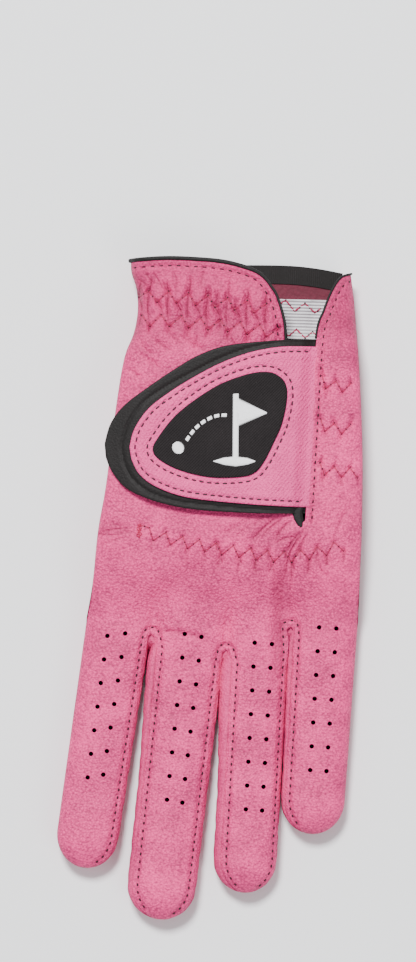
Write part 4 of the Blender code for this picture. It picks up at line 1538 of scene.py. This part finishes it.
def tab_level(x, y):
    """Lower face of the tab's base."""
    level = BACK_TOP + 3.0 * LAYER_GAP + LOOP_THICK + HOOK_THICK
    away = from_root(x, y)
    dive = 2.0 * ramp(away, 3.4, -0.6)
    wave = 0.18 * hills(x, y, 30.0, 41)
    return (level - TAB_SINK * ramp(away, 9.0, 1.0) - dive + wave
            - TAB_DROOP * ramp(x, -16.0, -29.0))


def anticlockwise(loop):
    """The outline turned to run anticlockwise."""
    x, y = loop.T
    area = np.sum(x * np.roll(y, -1) - y * np.roll(x, -1))
    return loop if area > 0.0 else loop[::-1]


FACE_LINE = anticlockwise(evenly(np.vstack([rounded(FACE_UPPER), rounded(FACE_LOWER)]), 0.5, True))
BADGE_LINE = anticlockwise(evenly(rounded(BADGE[::-1], 6, True), 0.5, True)[::-1])
FACE_SEAM = evenly(loop_offset(FACE_LINE, 1.4), 0.6, True)
FACE_SEAM = FACE_SEAM[from_root(FACE_SEAM[:, 0], FACE_SEAM[:, 1]) > 0.4]
SEAM_START = int(np.argmax(np.linalg.norm(FACE_SEAM - np.roll(FACE_SEAM, 1, axis=0), axis=1)))
FACE_SEAM_PATH = np.roll(FACE_SEAM, -SEAM_START, axis=0)
BADGE_SEAM = evenly(loop_offset(BADGE_LINE, -1.45), 0.6, True)


def edge_roll(x, y, loop, radius):
    """How far a layer's edge rolls down near its outline."""
    return radius * (1.0 - quarter_round(nearest(x, y, closed(loop))[0], radius))


def base_height(x, y):
    """Upper face of the tab's base, with the groove pressed round its free end."""
    height = tab_level(x, y) + BASE_THICK
    far = nearest(x, y, closed(FACE_LINE))[0]
    groove = 2.1 - 0.9 * ramp(x, -20.0, 0.0)
    return height - 0.5 * edge_roll(x, y, BASE_LINE, 0.6) - 0.34 * bell(far - groove, 0.45)


def face_height(x, y):
    """Upper face of the tab's pink face."""
    height = tab_level(x, y) + BASE_THICK + LAYER_GAP + FACE_THICK
    height = height - 0.7 * edge_roll(x, y, FACE_LINE, 0.7)
    far = nearest(x, y, FACE_SEAM_PATH)[0]
    near = nearest(x, y, closed(BADGE_SEAM))[0]
    height = height - 0.24 * bell(far, 0.36) + 0.12 * bell(far - 1.3, 0.7)
    return height - 0.22 * bell(near, 0.36) + 0.05 * hills(x, y, 9.0, 44)


def badge_height(x, y):
    """Upper face of the badge."""
    height = tab_level(x, y) + BASE_THICK + 2.0 * LAYER_GAP + FACE_THICK + BADGE_THICK
    return height - 0.8 * edge_roll(x, y, BADGE_LINE, 0.6)


def base_outline():
    """Plan of the tab's base, which runs under the leather right of the slit."""
    line = np.vstack([rounded(TAB_UPPER), rounded(TAB_LOWER)])
    line = line[line[:, 0] < 24.0]
    return anticlockwise(evenly(np.vstack([[(28.0, 64.9), (27.0, 64.95)], line, [(25.8, 19.9)]]),
                                0.5, True))


BASE_LINE = base_outline()


def rounded_box(box, radius=2.0):
    """Rectangle with round corners, anticlockwise."""
    left, right, low, high = box
    loop = []
    for x, y, turn in ((right - radius, high - radius, 0), (left + radius, high - radius, 90),
                       (left + radius, low + radius, 180), (right - radius, low + radius, 270)):
        for angle in np.radians(np.linspace(turn, turn + 90.0, 7)):
            loop.append((x + radius * math.cos(angle), y + radius * math.sin(angle)))
    return evenly(loop, 0.6, True)


def satin(outline, pitch, degrees):
    """Parallel threads that fill a closed outline: their ends, in plan."""
    angle = math.radians(degrees)
    aim = np.array([math.cos(angle), math.sin(angle)])
    normal = np.array([-aim[1], aim[0]])
    loop = np.asarray(outline, float)
    level = loop @ normal
    runs = []
    for at in np.arange(level.min() + 0.5 * pitch, level.max(), pitch):
        cuts = []
        for i in range(len(loop)):
            a, b = loop[i - 1], loop[i]
            la, lb = a @ normal - at, b @ normal - at
            if (la > 0) != (lb > 0):
                cuts.append(float((a + (b - a) * la / (la - lb)) @ aim))
        cuts.sort()
        for low, high in zip(cuts[::2], cuts[1::2]):
            if high - low > SHORTEST_THREAD:
                runs.append((aim * low + normal * at, aim * high + normal * at))
    return runs


FLAG = [(7.5, 42.2), (15.2, 45.9), (7.5, 49.9)]
POLE = [(6.1, 34.2), (7.6, 34.2), (7.7, 50.9), (6.2, 50.9)]
MOUND = [(1.0, 33.4), (3.9, 32.4), (6.9, 32.0), (9.9, 32.5), (12.2, 33.4), (9.9, 34.3), (6.9, 34.7),
         (3.9, 34.4)]
BALL = (-8.0, 36.9, 1.6)
DASH_HALF = 0.45
SATIN_PITCH = 0.26
SHORTEST_THREAD = 0.15
FLIGHT = [(-6.0, 38.5), (-3.8, 41.6), (-1.0, 43.9), (2.0, 45.2), (4.9, 45.3)]


def make_emblem():
    """Flag, pole, mound and flying ball in satin stitch."""
    shapes = [(FLAG, 88.0), (POLE, 4.0), (MOUND, 70.0), (circle(*BALL, 20), 35.0)]
    flight = evenly(rounded(FLIGHT), 2.0)
    for a, b in zip(flight, flight[1:]):
        aim = (b - a) / np.linalg.norm(b - a)
        side = np.array([-aim[1], aim[0]]) * DASH_HALF
        start, end = a + (b - a) * 0.16, a + (b - a) * 0.80
        shapes.append((np.array([start - side, end - side, end + side, start + side]),
                       math.degrees(math.atan2(aim[1], aim[0])) + 82.0))
    runs = np.array([run for shape, degrees in shapes
                     for run in satin(shape, SATIN_PITCH, degrees)])
    middles = on_surface(runs.mean(axis=1), badge_height, 0.12)
    rows = [(middle, (*aim, 0.0), UP, (math.hypot(*aim) + 0.1, 0.34, 0.42))
            for middle, aim in zip(middles, runs[:, 1] - runs[:, 0])]
    made = beads("tab_emblem_stitching", rows, WHITE_THREAD)
    belongs(made, "closure_tab", ["tab_emblem"])


def inset_rows(loop, insets):
    """Extra points just inside a closed outline that runs anticlockwise."""
    return np.vstack([loop_offset(loop, inset) for inset in insets])


def folds(piece, nodes):
    """Bake a tab layer's transform into its mesh and hide the frame nodes it stands for."""
    low, high = np.array(TAB_ROOT_LOW), np.array(TAB_ROOT_HIGH)
    aim = unit(high - low)
    flexes(piece)
    label(nodes)


def make_tab():
    """Closure tab in its layers, and the loop patch under it."""
    rolled = (0.08, 0.2, 0.38, 0.6)
    made = leather_sheet("tab_base_layer", BASE_LINE, 0.6, base_height, BASE_THICK, [BLACK], (),
                         inset_rows(BASE_LINE, rolled))
    folds(made, ["tab_base"])
    made = leather_sheet("tab_face_layer", FACE_LINE, 0.5, face_height, FACE_THICK + LAYER_GAP,
                         [TAB_PINK], (), inset_rows(FACE_LINE, rolled))
    folds(made, ["tab_face"])
    made = leather_sheet("tab_badge_layer", BADGE_LINE, 0.6, badge_height, BADGE_THICK + LAYER_GAP,
                         [BADGE_BLACK], (), inset_rows(BADGE_LINE, rolled[:-1]))
    belongs(made, "closure_tab", ["tab_badge"])
    make_emblem()
    edge_row, badge_row = (stitch_row(path, 2.0, TAB_STITCH, face_height, 0.08)
                           for path in (FACE_SEAM_PATH, closed(BADGE_SEAM)))
    folds(beads("tab_edge_stitches", edge_row, TAB_THREAD), ())
    made = beads("tab_badge_stitches", badge_row, TAB_THREAD)
    belongs(made, "closure_tab", ())

    def hook_top(x, y):
        return tab_level(x, y) + 0.02

    def loop_top(x, y):
        return back_base(x, y) + LAYER_GAP + LOOP_THICK + 0.06 * hills(x, y, 2.2, 51)

    made = leather_sheet("hook_patch_pile", rounded_box(HOOK_BOX), 0.8, hook_top,
                         HOOK_THICK + LAYER_GAP, [PILE])
    belongs(made, "closure_tab", ["hook_patch"])
    made = leather_sheet("loop_patch_pile", rounded_box(LOOP_BOX), 0.6, loop_top,
                         LOOP_THICK + LAYER_GAP, [PILE])
    belongs(made, "hand", ["loop_patch"])


# ---------------------------------------------------------------- camera, light and floor

VIEW_HEIGHT = 0.252
CAMERA_DISTANCE = 1.5
VIEW_MIDDLE = (-0.26, 28.3)
FLOOR_REACH = 3.0
WORLD_STRENGTH = 0.55


def make_camera():
    """Camera straight above the glove."""
    data = bpy.data.cameras.new("camera")
    data.sensor_fit = "VERTICAL"
    data.sensor_height = 24.0
    data.lens = data.sensor_height * CAMERA_DISTANCE / VIEW_HEIGHT
    data.clip_end = 20.0
    made = bpy.data.objects.new("camera", data)
    made.location = (VIEW_MIDDLE[0] * MM, VIEW_MIDDLE[1] * MM, CAMERA_DISTANCE)
    bpy.context.scene.collection.objects.link(made)
    bpy.context.scene.camera = made


def area_light(name, place, aim, size, power):
    """Soft square light pointed at a place."""
    data = bpy.data.lights.new(name, "AREA")
    data.size = size
    data.energy = power
    made = bpy.data.objects.new(name, data)
    made.location = place
    direction = Vector(aim) - Vector(place)
    made.rotation_euler = direction.to_track_quat("-Z", "Y").to_euler()
    bpy.context.scene.collection.objects.link(made)


def make_stage():
    """Floor, world and lights."""
    mesh = bpy.data.meshes.new("floor")
    corners = [(-1, -1), (1, -1), (1, 1), (-1, 1)]
    mesh.from_pydata([(x * FLOOR_REACH, y * FLOOR_REACH, 0.0) for x, y in corners], [],
                     [(0, 1, 2, 3)])
    mesh.materials.append(FLOOR)
    floor = bpy.data.objects.new("floor", mesh)
    bpy.context.scene.collection.objects.link(floor)
    world = bpy.data.worlds.new("studio")
    world.use_nodes = True
    background = world.node_tree.nodes["Background"]
    background.inputs["Color"].default_value = (1.0, 1.0, 1.0, 1.0)
    background.inputs["Strength"].default_value = WORLD_STRENGTH
    bpy.context.scene.world = world
    area_light("key", (-0.35, 1.1, 2.0), (0.0, 0.02, 0.0), 0.5, 100.0)
    area_light("fill", (1.2, -1.2, 1.6), (0.0, 0.0, 0.0), 1.2, 14.0)


make_camera()
make_stage()
hand_back()
hand_palm()
make_fingers()
stitch_groups()
crotch_gussets()
make_trims()
make_palm_trims()
make_hand_stitches()
make_thumb()
make_tab()

for node_name in ("cuff_elastic_upper", "cuff_elastic_lower", "knuckle_elastic",
                  "side_elastic_upper", "side_elastic_middle", "side_elastic_lower"):
    for material_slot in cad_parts[node_name].material_slots:
        material_slot.material = ELASTIC
